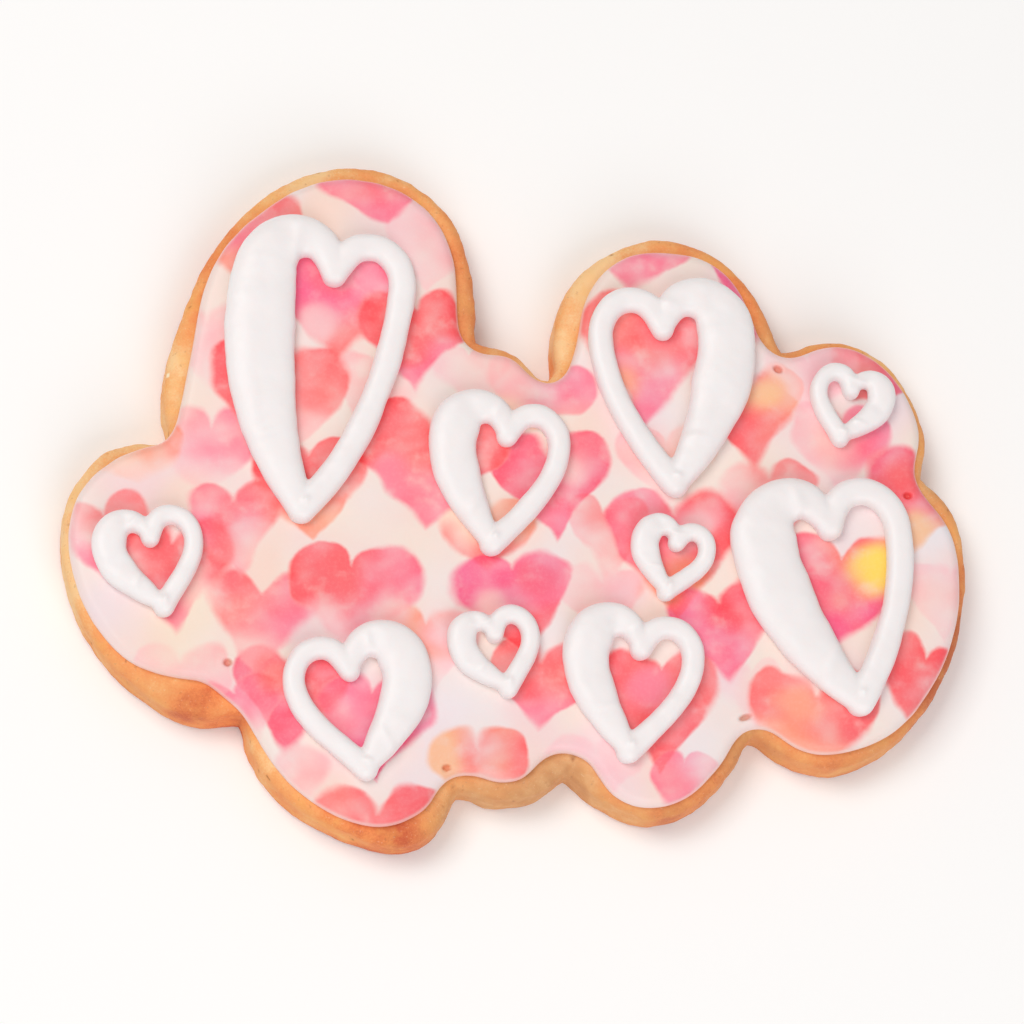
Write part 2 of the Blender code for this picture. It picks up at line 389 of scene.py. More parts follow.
@dataclass(frozen=True)
class Outline:
    """A closed edge seen from above, clockwise, in equal steps (mm)."""

    loop: Array

    @classmethod
    def around(cls, node: str, count: int) -> Outline:
        """Return a node's widest edge as a smooth loop.

        Args:
            node: the solid's name in the frame.
            count: how many steps the loop gets.

        Returns:
            The sum of sine waves through the corners.
        """
        ring = widest_ring(node)
        waves = np.fft.rfft(ring, axis=0)
        return cls(np.fft.irfft(waves, n=count, axis=0) * (count / len(ring)))

    @property
    def step(self) -> float:
        """The mean length of a step."""
        return float(np.linalg.norm(self.loop - np.roll(self.loop, 1, axis=0), axis=1).mean())

    @property
    def inward(self) -> Array:
        """The unit vectors that point into the loop."""
        along = np.roll(self.loop, -1, axis=0) - np.roll(self.loop, 1, axis=0)
        along /= np.linalg.norm(along, axis=1)[:, None]
        return np.column_stack([along[:, 1], -along[:, 0]])

    @property
    def bend(self) -> Array:
        """The curvature at each step (1/mm): above 0 round a lobe, below 0 in a notch."""
        normal = self.inward
        along = np.column_stack([-normal[:, 1], normal[:, 0]])
        change = (np.roll(normal, -1, axis=0) - np.roll(normal, 1, axis=0)) / (2.0 * self.step)
        return soften(-(change * along).sum(axis=1), 1.0, self.step)

    def notches(self, sharp: float) -> list[tuple[int, float]]:
        """Return the steps where the edge bends hollow the most.

        Args:
            sharp: the least bend that counts (1/mm).

        Returns:
            The number of each step with its bend.
        """
        hollow = -self.bend
        beside = np.maximum(np.roll(hollow, 1), np.roll(hollow, -1))
        found = np.flatnonzero((hollow > sharp) & (hollow > beside))
        return [(int(k), float(hollow[k])) for k in found]

    def along_from(self, start: int) -> Array:
        """Return each step's distance along the loop from a step, the shorter way round (mm)."""
        away = np.abs(np.arange(len(self.loop)) - start)
        return np.minimum(away, len(self.loop) - away) * self.step

    def nearest(self, points: Array) -> Array:
        """Return the nearest step of the loop for each point.

        Args:
            points: the places, in millimetres.

        Returns:
            One number for each point.
        """
        square = (self.loop**2).sum(axis=1)
        parts = np.array_split(points[:, :2], max(1, len(points) // 4000))
        return np.concatenate([(square - 2.0 * rows @ self.loop.T).argmin(axis=1) for rows in parts])

    def depth(self, points: Array) -> Array:
        """Return how far each point lies inside the loop.

        Args:
            points: the places, in millimetres.

        Returns:
            The distance to the nearest step, below 0 outside (mm).
        """
        near = self.nearest(points)
        gap = points[:, :2] - self.loop[near]
        return np.copysign(np.linalg.norm(gap, axis=1), (gap * self.inward[near]).sum(axis=1))

    def lattice(self, around: Array, pitch: float, least: float, most: float = math.inf) -> Array:
        """Return a lattice of even triangles between two depths inside the loop.

        Args:
            around: the points whose box the lattice starts in.
            pitch: the side of a triangle (mm).
            least: the least depth (mm).
            most: the greatest depth (mm).

        Returns:
            Rows of two.
        """
        points = hex_lattice(around.min(axis=0), around.max(axis=0), pitch)
        depth = self.depth(points)
        return points[(depth > least) & (depth < most)]

    def rings(self, profile: Array, extra: Array | None = None) -> Array:
        """Return the loop repeated up a side, as one array of points.

        Args:
            profile: one row of (inset, height) for each ring.
            extra: a further inset for each step of the loop.

        Returns:
            Rows of three, ring after ring.
        """
        inset = profile[:, 0][:, None] + (np.zeros(len(self.loop)) if extra is None else extra)
        flat = self.loop[None] + self.inward[None] * inset[:, :, None]
        height = np.broadcast_to(profile[:, 1][:, None], inset.shape)
        return np.concatenate([flat, height[:, :, None]], axis=2).reshape(-1, 3)


# Shader graphs


class Value:
    """A shader value that can be written in sums: it wraps one output of a node."""

    def __init__(self, graph: Graph, socket: bpy.types.NodeSocket) -> None:
        """Keep the graph and the socket."""
        self.graph = graph
        self.socket = socket

    def _math(self, operation: str, first: Any, second: Any) -> Value:
        """Return the result of a Math node."""
        return self.graph.node("ShaderNodeMath", {"operation": operation}, {0: first, 1: second})

    def __add__(self, other: Any) -> Value:
        """Return self + other."""
        return self._math("ADD", self, other)

    __radd__ = __add__

    def __sub__(self, other: Any) -> Value:
        """Return self - other."""
        return self._math("SUBTRACT", self, other)

    def __rsub__(self, other: Any) -> Value:
        """Return other - self."""
        return self._math("SUBTRACT", other, self)

    def __mul__(self, other: Any) -> Value:
        """Return self times other."""
        return self._math("MULTIPLY", self, other)

    __rmul__ = __mul__

    def around(self, middle: float, spread: float) -> Value:
        """Return noise from 0 to 1 as numbers that vary by a spread around a middle."""
        return self * spread + (middle - spread / 2.0)

    def above(self, low: Any, high: Any) -> Value:
        """Return a smooth step over this value.

        Args:
            low: where the step starts.
            high: where it ends.

        Returns:
            0 below low, 1 above high.
        """
        return self.graph.node(
            "ShaderNodeMapRange",
            {"interpolation_type": "SMOOTHSTEP"},
            {"Value": self, "From Min": low, "From Max": high})


class Graph:
    """The nodes of one material around a Principled shader."""

    def __init__(self, name: str) -> None:
        """Start the material."""
        self.material = bpy.data.materials.new(name)
        self.material.use_nodes = True
        self.tree = self.material.node_tree
        self.shader = self.tree.nodes["Principled BSDF"]
        self.place = self.node("ShaderNodeTexCoord", output="Object")

    def node(
            self, kind: str, settings: dict[str, Any] | None = None,
            inputs: dict[Any, Any] | None = None, output: str | int = 0) -> Value:
        """Add a node.

        Args:
            kind: the node's type.
            settings: its own settings, set first; "stops" fills a colour ramp.
            inputs: values or links by the name or number of the socket.
            output: the socket that is returned.

        Returns:
            The chosen output.
        """
        made = self.tree.nodes.new(kind)
        for key, value in (settings or {}).items():
            if key == "stops":
                self._set_stops(made.color_ramp, value)
            else:
                setattr(made, key, value)
        for key, value in (inputs or {}).items():
            self.feed(made.inputs[key], value)
        return Value(self, made.outputs[output])

    @staticmethod
    def _set_stops(ramp: bpy.types.ColorRamp, stops: Sequence[tuple[float, Sequence[float]]]) -> None:
        """Fill a colour ramp.

        Args:
            ramp: the ramp.
            stops: its (position, linear colour) stops.
        """
        while len(ramp.elements) < len(stops):
            ramp.elements.new(1.0)
        for element, (position, colour) in zip(ramp.elements, stops):
            element.position = position
            element.color = (*colour, 1.0)

    def feed(self, socket: bpy.types.NodeSocket, value: Any) -> None:
        """Link a value to a socket, or set the socket to a plain number or colour.

        Args:
            socket: the input.
            value: a Value, a number, or the parts of a colour or vector.
        """
        if isinstance(value, Value):
            self.tree.links.new(value.socket, socket)
        elif isinstance(value, (int, float)):
            socket.default_value = value
        else:
            numbers = [float(part) for part in value]
            socket.default_value = numbers + [1.0] * (len(socket.default_value) - len(numbers))

    def set(self, **inputs: Any) -> None:
        """Feed the shader's own sockets; an underscore in a name stands for a space."""
        for name, value in inputs.items():
            self.feed(self.shader.inputs[name.replace("_", " ")], value)

    def noise(self, size: float, detail: float = 2.0, roughness: float = 0.5) -> Value:
        """Return noise over the object's own place.

        Args:
            size: the size of a bump (mm).
            detail: how many finer layers are added.
            roughness: how strong they are.

        Returns:
            Values from 0 to 1.
        """
        return self.node(
            "ShaderNodeTexNoise", {},
            {"Vector": self.place, "Scale": 1.0 / (size * MM), "Detail": detail, "Roughness": roughness})

    def kept(self, name: str) -> Value:
        """Return a number kept on the vertices."""
        return self.node("ShaderNodeAttribute", {"attribute_name": name}, output="Fac")

    def kept_colour(self, name: str) -> Value:
        """Return a colour kept on the vertices."""
        return self.node("ShaderNodeAttribute", {"attribute_name": name}, output="Color")

    def mix(self, share: Any, first: Any, second: Any, how: str = "MIX") -> Value:
        """Mix two colours.

        Args:
            share: the share of the second colour.
            first: the first colour.
            second: the second colour.
            how: the way that they blend.

        Returns:
            The mixed colour.
        """
        return self.node(
            "ShaderNodeMix",
            {"data_type": "RGBA", "blend_type": how, "clamp_factor": True},
            {0: share, 6: first, 7: second}, output=2)

    def bump(self, height: Value, rise: float, under: Value | None = None) -> Value:
        """Bend the normal by a height.

        Args:
            height: the height, from 0 to 1.
            rise: what a height of 1 stands for (mm).
            under: the normal that it adds to.

        Returns:
            The bent normal.
        """
        inputs: dict[str, Any] = {"Height": height, "Distance": rise * MM, "Strength": 1.0}
        if under is not None:
            inputs["Normal"] = under
        return self.node("ShaderNodeBump", {}, inputs)


# Finishes


@dataclass(frozen=True)
class Flecks:
    """Small soft patches of another colour, shown where a noise lies high."""

    colour: tuple[int, int, int]
    size: float
    start: float
    full: float
    strength: float
    detail: float = 1.0
    roughness: float = 0.5

    def over(self, graph: Graph, colour: Value) -> Value:
        """Lay the flecks over a colour.

        Args:
            graph: the material's nodes.
            colour: the colour below.

        Returns:
            The colour with the flecks.
        """
        share = graph.noise(self.size, self.detail, self.roughness).above(self.start, self.full)
        return graph.mix(share * self.strength, colour, screen_colour(self.colour))


@dataclass(frozen=True)
class CrustFinish:
    """Baked butter dough: sandy, matte, paler in the notches and browner where it sticks out."""

    pale: tuple[int, int, int] = (252, 206, 150)
    golden: tuple[int, int, int] = (248, 173, 108)
    amber: tuple[int, int, int] = (242, 146, 86)
    brown: tuple[int, int, int] = (206, 90, 56)
    # the tan colour is painted shade in the tan spots, and the underside is made tan too
    tan: tuple[int, int, int] = (208, 147, 98)
    honey: Flecks = Flecks((250, 186, 104), 3.4, 0.48, 0.74, 0.40, 2.0)
    flour: Flecks = Flecks((255, 236, 205), 0.30, 0.66, 0.76, 0.20)
    toast_and_pore_shade: Flecks = Flecks((146, 72, 36), 0.60, 0.68, 0.78, 0.22)
    blotched: float = 0.44
    mottled: float = 0.38
    grained: float = 0.34
    roughness: float = 0.68
    crumb: float = 0.07
    sand: float = 0.030

    def material(self) -> bpy.types.Material:
        """Return the material; it reads the vertices' browning with painted light and shade, the tan
        spots' painted shade, the pores with their painted shade, and the specks.
        """
        graph = Graph("baked_crust")
        blotch = graph.noise(5.5, 3.0)
        mottle = graph.noise(1.6, 3.0)
        sand = graph.noise(0.26, 2.0, 0.6)
        # this holds real browning with painted light and shade: paler lit spots and darker creases
        baked = graph.kept("bake") + blotch.around(0.0, self.blotched)
        baked = baked + mottle.around(0.0, self.mottled) + sand.around(0.0, self.grained)
        colour = graph.node(
            "ShaderNodeValToRGB",
            {"stops": [
                (0.12, screen_colour(self.pale)), (0.40, screen_colour(self.golden)),
                (0.66, screen_colour(self.amber)), (0.98, screen_colour(self.brown))]},
            {"Fac": baked})
        colour = self.honey.over(graph, colour)
        # painted shade: the tan spots dull the crust where it lies in shade, and the underside is made
        # tan too
        colour = graph.mix(graph.kept("tan") * (mottle + 0.5), colour, screen_colour(self.tan))
        colour = self.toast_and_pore_shade.over(graph, self.flour.over(graph, colour))
        # painted shade in the pores: they are darkened towards the toast colour
        colour = graph.mix(graph.kept("pore") * 0.62, colour, screen_colour(self.toast_and_pore_shade.colour))
        colour = graph.mix(graph.kept("speck"), colour, screen_colour(self.flour.colour))
        crumbs = graph.bump(graph.noise(0.55, 3.0), self.crumb)
        graph.set(
            Base_Color=colour, Roughness=sand.around(self.roughness, 0.16),
            Normal=graph.bump(sand, self.sand, crumbs),
            Subsurface_Weight=0.08, Subsurface_Scale=0.8 * MM, Subsurface_Radius=(1.0, 0.55, 0.30),
            IOR=1.42, Specular_IOR_Level=0.35)
        return graph.material


@dataclass(frozen=True)
class PrintedFinish:
    """Set base icing under layers of see-through food colour: satin, with a faint grain."""

    layers: int
    # the pale rim colour is partly the thin icing's paler edge and partly a painted highlight
    rim: tuple[int, int, int] = (250, 224, 218)
    shade: tuple[int, int, int] = (222, 150, 112)
    sugar: Flecks = Flecks((255, 240, 234), 0.45, 0.40, 0.80, 0.06, 3.0, 0.6)
    edge: float = 0.30
    blur: float = 0.55
    resist: float = 0.50
    roughness: float = 0.46

    def material(self) -> bpy.types.Material:
        """Return the material.

        Each layer of ink multiplies the ground inside its hearts. The vertices keep how far inside
        a heart they are, and a smooth step over that distance gives the soft printed edge. Where
        an earlier layer covers the ground, the next one takes less.
        """
        graph = Graph("printed_icing")
        wander = graph.noise(1.3, 3.0) - 0.5
        blur = graph.noise(6.0, 1.0).above(0.35, 0.75) * self.blur + self.edge
        grain = graph.noise(0.16, 2.0, 0.6)
        bloom = graph.noise(3.2, 3.0, 0.5)
        colour = graph.kept_colour("ground")
        bare = 1.0 - bloom.above(0.50, 0.86) * 0.45
        for layer in range(self.layers):
            inside = graph.kept(f"print_reach_{layer}") + wander * 0.4
            share = inside.above(0.0 - blur, blur)
            colour = graph.mix(share * bare, colour, graph.kept_colour(f"print_ink_{layer}"), "MULTIPLY")
            bare = bare * (1.0 - share * self.resist)
        colour = self.sugar.over(graph, colour)
        # pale rim along the edge: partly the thin icing's paler colour, partly a painted highlight
        colour = graph.mix(graph.kept("rim"), colour, screen_colour(self.rim))
        colour = graph.mix(graph.kept("pit"), colour, screen_colour(self.shade), "MULTIPLY")
        skin = graph.bump(graph.noise(1.1, 3.0), 0.012)
        graph.set(
            Base_Color=colour, Roughness=grain.around(self.roughness, 0.10),
            Normal=graph.bump(grain, 0.006, skin),
            Subsurface_Weight=0.10, Subsurface_Scale=0.5 * MM, Subsurface_Radius=(1.0, 0.55, 0.50),
            IOR=1.45)
        return graph.material


@dataclass(frozen=True)
class PipingFinish:
    """Thick white icing that set with a smooth satin skin."""

    white: tuple[int, int, int] = (246, 242, 242)
    warm: tuple[int, int, int] = (246, 238, 237)
    roughness: float = 0.42

    def material(self) -> bpy.types.Material:
        """Return the material."""
        graph = Graph("white_piping")
        cloud = graph.noise(3.5, 3.0)
        fine = graph.noise(0.35, 3.0)
        colour = graph.mix(cloud, screen_colour(self.white), screen_colour(self.warm))
        skin = graph.bump(graph.noise(1.4, 2.0), 0.02)
        graph.set(
            Base_Color=colour, Roughness=fine.around(self.roughness, 0.10),
            Normal=graph.bump(fine, 0.004, skin),
            Subsurface_Weight=0.20, Subsurface_Scale=1.2 * MM, Subsurface_Radius=(1.0, 0.75, 0.68),
            IOR=1.45)
        return graph.material


# The biscuit


@dataclass(frozen=True)
class Biscuit:
    """The baked biscuit: a cloud of lobes with a round rim, creased notches and a sandy crumb."""

    node: str = "biscuit"
    slot: str = "crust"
    around: int = 1300
    bottom_round: float = 0.9
    top_round: float = 1.5
    side_lean: float = 0.2
    crease: float = 1.25
    crease_reach: float = 1.5
    crease_bend: float = 0.10
    full_bend: float = 0.30
    pore_depth: float = 0.14
    baked: float = 0.42
    baked_rim: float = 0.10
    baked_foot: float = 0.40
    painted_crease_shade: float = 0.26
    rim_pitch: float = 0.42
    rim_band: float = 6.5
    under_pitch: float = 0.8
    hidden_pitch: float = 2.5
    margin: float = 0.7
    finish: CrustFinish = CrustFinish()
    # Pale specks of flour: (x, y, z, radius).
    specks: Sequence[tuple[float, float, float, float]] = (
        (-44.6, 15.6, 5.9, 0.35), (-33.0, 39.6, 6.0, 0.22))
    # Painted shade: duller tan spots in the shaded low middle and in the notches. Then browner and paler
    # spots: real browning, with painted light in the paler spots on the lit left and upper lobes. Each is
    # (x, y, reach, amount).
    painted_shade_spots: Sequence[tuple[float, float, float, float]] = (
        (1.0, -37.5, 6.0, 0.75), (5.8, -36.0, 2.5, 0.5), (28.8, -32.0, 3.0, 0.7),
        (45.0, -33.0, 7.0, 0.35), (-8.0, -41.0, 3.0, 0.5), (56.0, -18.0, 8.0, 0.35),
        (-5.0, 26.0, 5.0, 0.35), (18.0, -40.5, 6.0, 0.35), (-46.0, -28.0, 4.0, 0.2),
        (34.5, 23.0, 2.5, 0.4), (54.5, 3.5, 3.0, 0.4),
    )
    browning_and_light_spots: Sequence[tuple[float, float, float, float]] = (
        (-13.5, -43.0, 4.0, 0.26), (-17.4, -41.4, 1.4, 0.16), (-14.8, -41.9, 1.7, 0.22),
        (-21.0, -43.0, 3.5, 0.14), (-38.0, -27.8, 4.0, 0.42), (-27.0, -40.5, 4.0, 0.04),
        (-32.5, -34.5, 3.5, -0.10), (-57.5, -4.0, 8.0, -0.26), (-57.0, -13.0, 4.0, -0.30),
        (-43.0, -23.0, 2.5, -0.14), (-50.5, -21.0, 3.5, 0.12), (-34.5, 38.5, 3.5, -0.14),
        (-53.0, 6.5, 4.0, -0.16), (-45.5, 16.5, 5.0, -0.18), (-40.0, 30.5, 4.0, 0.20),
        (-28.0, 42.5, 4.5, -0.26), (-18.0, 43.5, 4.0, 0.06), (-9.5, 37.0, 3.5, -0.22),
        (-6.5, 29.0, 5.5, 0.34), (-4.5, 22.5, 3.0, 0.26), (6.5, 27.0, 4.5, -0.26),
        (9.5, 31.0, 4.0, -0.16), (14.5, 34.5, 3.5, -0.24), (21.5, 34.5, 4.0, 0.06),
        (32.0, 25.5, 5.0, 0.34), (43.0, 22.8, 5.0, -0.10), (55.0, -4.0, 3.0, -0.12),
        (57.5, -10.0, 7.0, 0.18), (55.0, -19.0, 4.0, 0.52), (51.5, -26.0, 4.0, 0.12),
        (41.0, -33.5, 5.0, 0.06), (30.0, -33.0, 4.0, 0.16), (18.4, -40.5, 4.0, 0.20),
        (8.6, -37.0, 3.5, -0.20), (1.0, -37.0, 4.0, -0.16), (23.5, -37.0, 3.0, 0.14),
    )

    def profile(self, thick: float) -> Array:
        """Return the side's outline from the foot to the top.

        Args:
            thick: the biscuit's height (mm).

        Returns:
            Rows of (inset, height): a quarter round, a leaning side and a quarter round.
        """
        low = np.radians(np.linspace(90.0, 0.0, 7))
        high = np.radians(np.linspace(0.0, 90.0, 9))
        side = np.linspace(0.0, 1.0, 9)[1:-1]
        foot = np.column_stack([1.0 - np.cos(low), 1.0 - np.sin(low)]) * self.bottom_round
        top = np.column_stack([
            self.side_lean + self.top_round * (1.0 - np.cos(high)),
            thick - self.top_round * (1.0 - np.sin(high))])
        middle = foot[-1] + side[:, None] * (top[0] - foot[-1])
        return np.vstack([foot, middle, top])

    def creases(self, edge: Outline) -> Array:
        """Return how much further in the edge lies beside its notches.

        A crease falls off with the distance along the edge by exp(-distance / reach), which leaves
        a sharp fold in its middle, and it is deeper where the edge bends more sharply.

        Args:
            edge: the biscuit's edge.

        Returns:
            One inset for each step of the edge (mm).
        """
        inset = np.zeros(len(edge.loop))
        for step, bend in edge.notches(self.crease_bend):
            depth = self.crease * min(1.0, bend / self.full_bend)
            inset = np.maximum(inset, depth * np.exp(-edge.along_from(step) / self.crease_reach))
        return inset

    def relief(self, points: Array) -> Array:
        """Return the baked surface's unevenness.

        Args:
            points: the places, in millimetres.

        Returns:
            The sum of three random fields of falling size, lowered to lie mostly inwards (mm).
        """
        broad = 0.10 * ripple(points, 6.0, 11)
        lumps = 0.050 * ripple(points, 2.0, 12)
        crumb = 0.030 * ripple(points, 0.9, 13, 40)
        return broad + lumps + crumb - 0.16

    def pores(self, points: Array) -> Array:
        """Return 1 in the small open pores of the crumb and 0 elsewhere."""
        return ease(1.75, 2.15, ripple(points, 0.8, 14, 40))

    def bake(self, edge: Outline, points: Array, near: Array) -> Array:
        """Return how brown each point is baked, with painted light and shade, from 0 to 1.

        Args:
            edge: the biscuit's edge.
            points: the places, in millimetres.
            near: the nearest step of the edge for each point.

        Returns:
            More where the edge sticks out of its wide average and at the foot of the side, with broad
            patches; darker in the creases as painted shade; paler in some spots on the lit left and upper
            lobes as painted light; less in the notches and towards the underside's middle.
        """
        wide = soften(edge.loop, 7.0, edge.step)
        sticks_out = -((edge.loop - wide) * edge.inward).sum(axis=1) / 3.0
        sticks_out = np.clip(sticks_out, -1.3, 1.0)[near]
        rim = np.exp(-np.linalg.norm(points[:, :2] - edge.loop[near], axis=1) / 2.5)
        below = self.underside(points)
        low = (1.0 - ease(0.2, 1.7, points[:, 2])) * (1.0 - 0.75 * below * (1.0 - rim))
        # painted shade: darker in the creases beside the notches
        crease_shade = (self.creases(edge)[near] / self.crease) ** 3 * ease(0.3, 0.8, rim)
        patches = 0.08 * ripple(points, 9.0, 21) + 0.09 * ripple(points, 3.5, 22)
        # real browning spots, with painted light where the spots are paler on the lit lobes
        patches += self.spread(self.browning_and_light_spots, points) * (1.0 - 0.7 * below)
        even = self.baked + self.baked_rim * sticks_out
        return even + self.baked_foot * low + self.painted_crease_shade * crease_shade + patches

    @staticmethod
    def underside(points: Array) -> Array:
        """Return 1 on the underside, falling to 0 half a millimetre up the side."""
        return 1.0 - ease(0.0, 0.5, points[:, 2])

    @staticmethod
    def spread(spots: Sequence[tuple[float, float, float, float]], points: Array) -> Array:
        """Return the sum of the spots' amounts, each weighted by a bell of its own reach."""
        return sum(amount * bell(points, x, y, reach) for x, y, reach, amount in spots)

    def floury(self, points: Array) -> Array:
        """Return where the pale specks of flour are.

        Args:
            points: the places, in millimetres.

        Returns:
            1 in the specks, falling to 0 at their edge.
        """
        speck = np.zeros(len(points))
        for *middle, radius in self.specks:
            away = np.linalg.norm((points - middle) * (1.0, 1.0, 0.6), axis=1)
            speck = np.maximum(speck, 1.0 - ease(0.5, 1.0, away / radius))
        return speck

    def shape(self, edge: Outline) -> tuple[Array, list]:
        """Return the slab before it is roughened; its top is fine only in the band that shows.

        Args:
            edge: the biscuit's edge.

        Returns:
            The points and the faces.
        """
        profile = self.profile(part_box(self.node)[1].z / MM)
        side = edge.rings(profile, self.creases(edge))
        top, foot = Outline(side[-self.around:, :2]), Outline(side[:self.around, :2])
        band = self.rim_band - profile[-1, 0]
        upper = np.vstack([
            top.lattice(edge.loop, self.rim_pitch, self.margin * self.rim_pitch, band),
            top.lattice(edge.loop, self.hidden_pitch, band + 0.5)])
        under = foot.lattice(edge.loop, self.under_pitch, self.margin * self.under_pitch)
        return closed_slab(side, self.around, upper, under)

    def dress(self, mesh: bpy.types.Mesh, edge: Outline, points: Array) -> None:
        """Roughen the slab and keep on the vertices its browning with painted light and shade, the
        painted shade of the tan spots, the pores and the specks.

        Args:
            mesh: the slab's mesh.
            edge: the biscuit's edge.
            points: the vertices, in millimetres.
        """
        normal = read_points(mesh, "normal")
        pore = self.pores(points)
        moved = points + normal * (self.relief(points) - self.pore_depth * pore)[:, None]
        moved[:, 2] = np.maximum(moved[:, 2], 0.0)
        write_points(mesh, moved * MM)
        paint(mesh, "bake", self.bake(edge, points, edge.nearest(points)))
        # painted shade: tan spots in the shaded low middle and the notches; the underside gets tan as
        # well
        tan = np.clip(self.spread(self.painted_shade_spots, points), 0.0, 0.8)
        paint(mesh, "tan", np.maximum(tan, 0.55 * self.underside(points)))
        # the pores' mask, also used for their painted shade in the material
        paint(mesh, "pore", pore)
        paint(mesh, "speck", self.floury(points))

    def build(self) -> bpy.types.Object:
        """Make the biscuit in place of its solid."""
        edge = Outline.around(self.node, self.around)
        points, faces = self.shape(edge)
        piece = mesh_object("baked_biscuit", points, faces)
        self.dress(piece.data, edge, points)
        place(piece, self.finish.material(), self.node)
        return piece


# The printed base icing


@dataclass(frozen=True)
class PrintedHeart:
    """One soft heart of the print: its box in millimetres, its turn and its colours."""

    x: float
    y: float
    width: float
    height: float
    turn: float
    left: Pigment
    right: Pigment
    foot: Pigment

    def upright(self, points: Array) -> Array:
        """Return the points measured from the heart's tip, with the heart turned upright."""
        return (points - (self.x, self.y)) @ turning(-self.turn) + (0.0, self.height / 2.0)

    def reach(self, upright: Array) -> Array:
        """Return how far inside the heart each point is (mm), below 0 outside.

        Each half is a drop: the tight hull around a hump's circle and the heart's tip. The core
        between the drops lies below the cleft and between the two outer straight sides. The
        deepest of the three counts.

        Args:
            upright: the points in the heart's own frame.

        Returns:
            One distance for each point.
        """
        hump = 0.255 * self.width
        tip = 0.03 * self.width
        offset = self.width / 2.0 - hump
        rise = self.height - hump
        length = math.hypot(offset, rise)
        slope = (hump - tip) / length
        square = math.sqrt(1.0 - slope * slope)
        cleft = rise + math.sqrt(hump**2 - offset**2)
        best = np.full(len(upright), -np.inf)
        core = np.minimum(cleft - upright[:, 1], offset - np.abs(upright[:, 0]))
        for side in (-1.0, 1.0):
            gap = upright - (side * offset, rise)
            along = gap @ np.array([-side * offset, -rise]) / length
            outward = gap @ np.array([side * rise, -offset]) / length
            across = np.abs(outward)
            stage = square * along - slope * across
            outside = np.where(
                stage < 0.0, np.hypot(along, across) - hump,
                np.where(
                    stage > square * length, np.hypot(along - length, across) - tip,
                    square * across + slope * along - hump))
            best = np.maximum(best, -outside)
            core = np.minimum(core, hump - square * outward - slope * along)
        return np.maximum(best, core)

    def ink(self, upright: Array, reach: Array, wash: Array, strength: Array) -> Array:
        """Return the logarithm of the light that the heart's ink lets through.

        Args:
            upright: the points in the heart's own frame.
            reach: how far inside the heart they are.
            wash: a random field that bends the borders between the colours.
            strength: how thick the ink lies.

        Returns:
            Rows of three: left and right pigments blend across the middle, the foot's pigment
            takes over towards the tip, and the ink is a little thicker along the edge.
        """
        left, right, foot = self.left.ink(), self.right.ink(), self.foot.ink()
        across = ease(-0.45, 0.45, upright[:, 0] / self.width + 0.16 * wash)[:, None]
        down = 1.0 - ease(0.16, 0.60, upright[:, 1] / self.height + 0.10 * wash)[:, None]
        blend = left * (1.0 - across) + right * across
        blend = blend * (1.0 - down) + foot * down
        edge = 0.16 * np.exp(-np.maximum(reach, 0.0) / 0.9)
        return blend * (strength + edge)[:, None]


P = Pigment

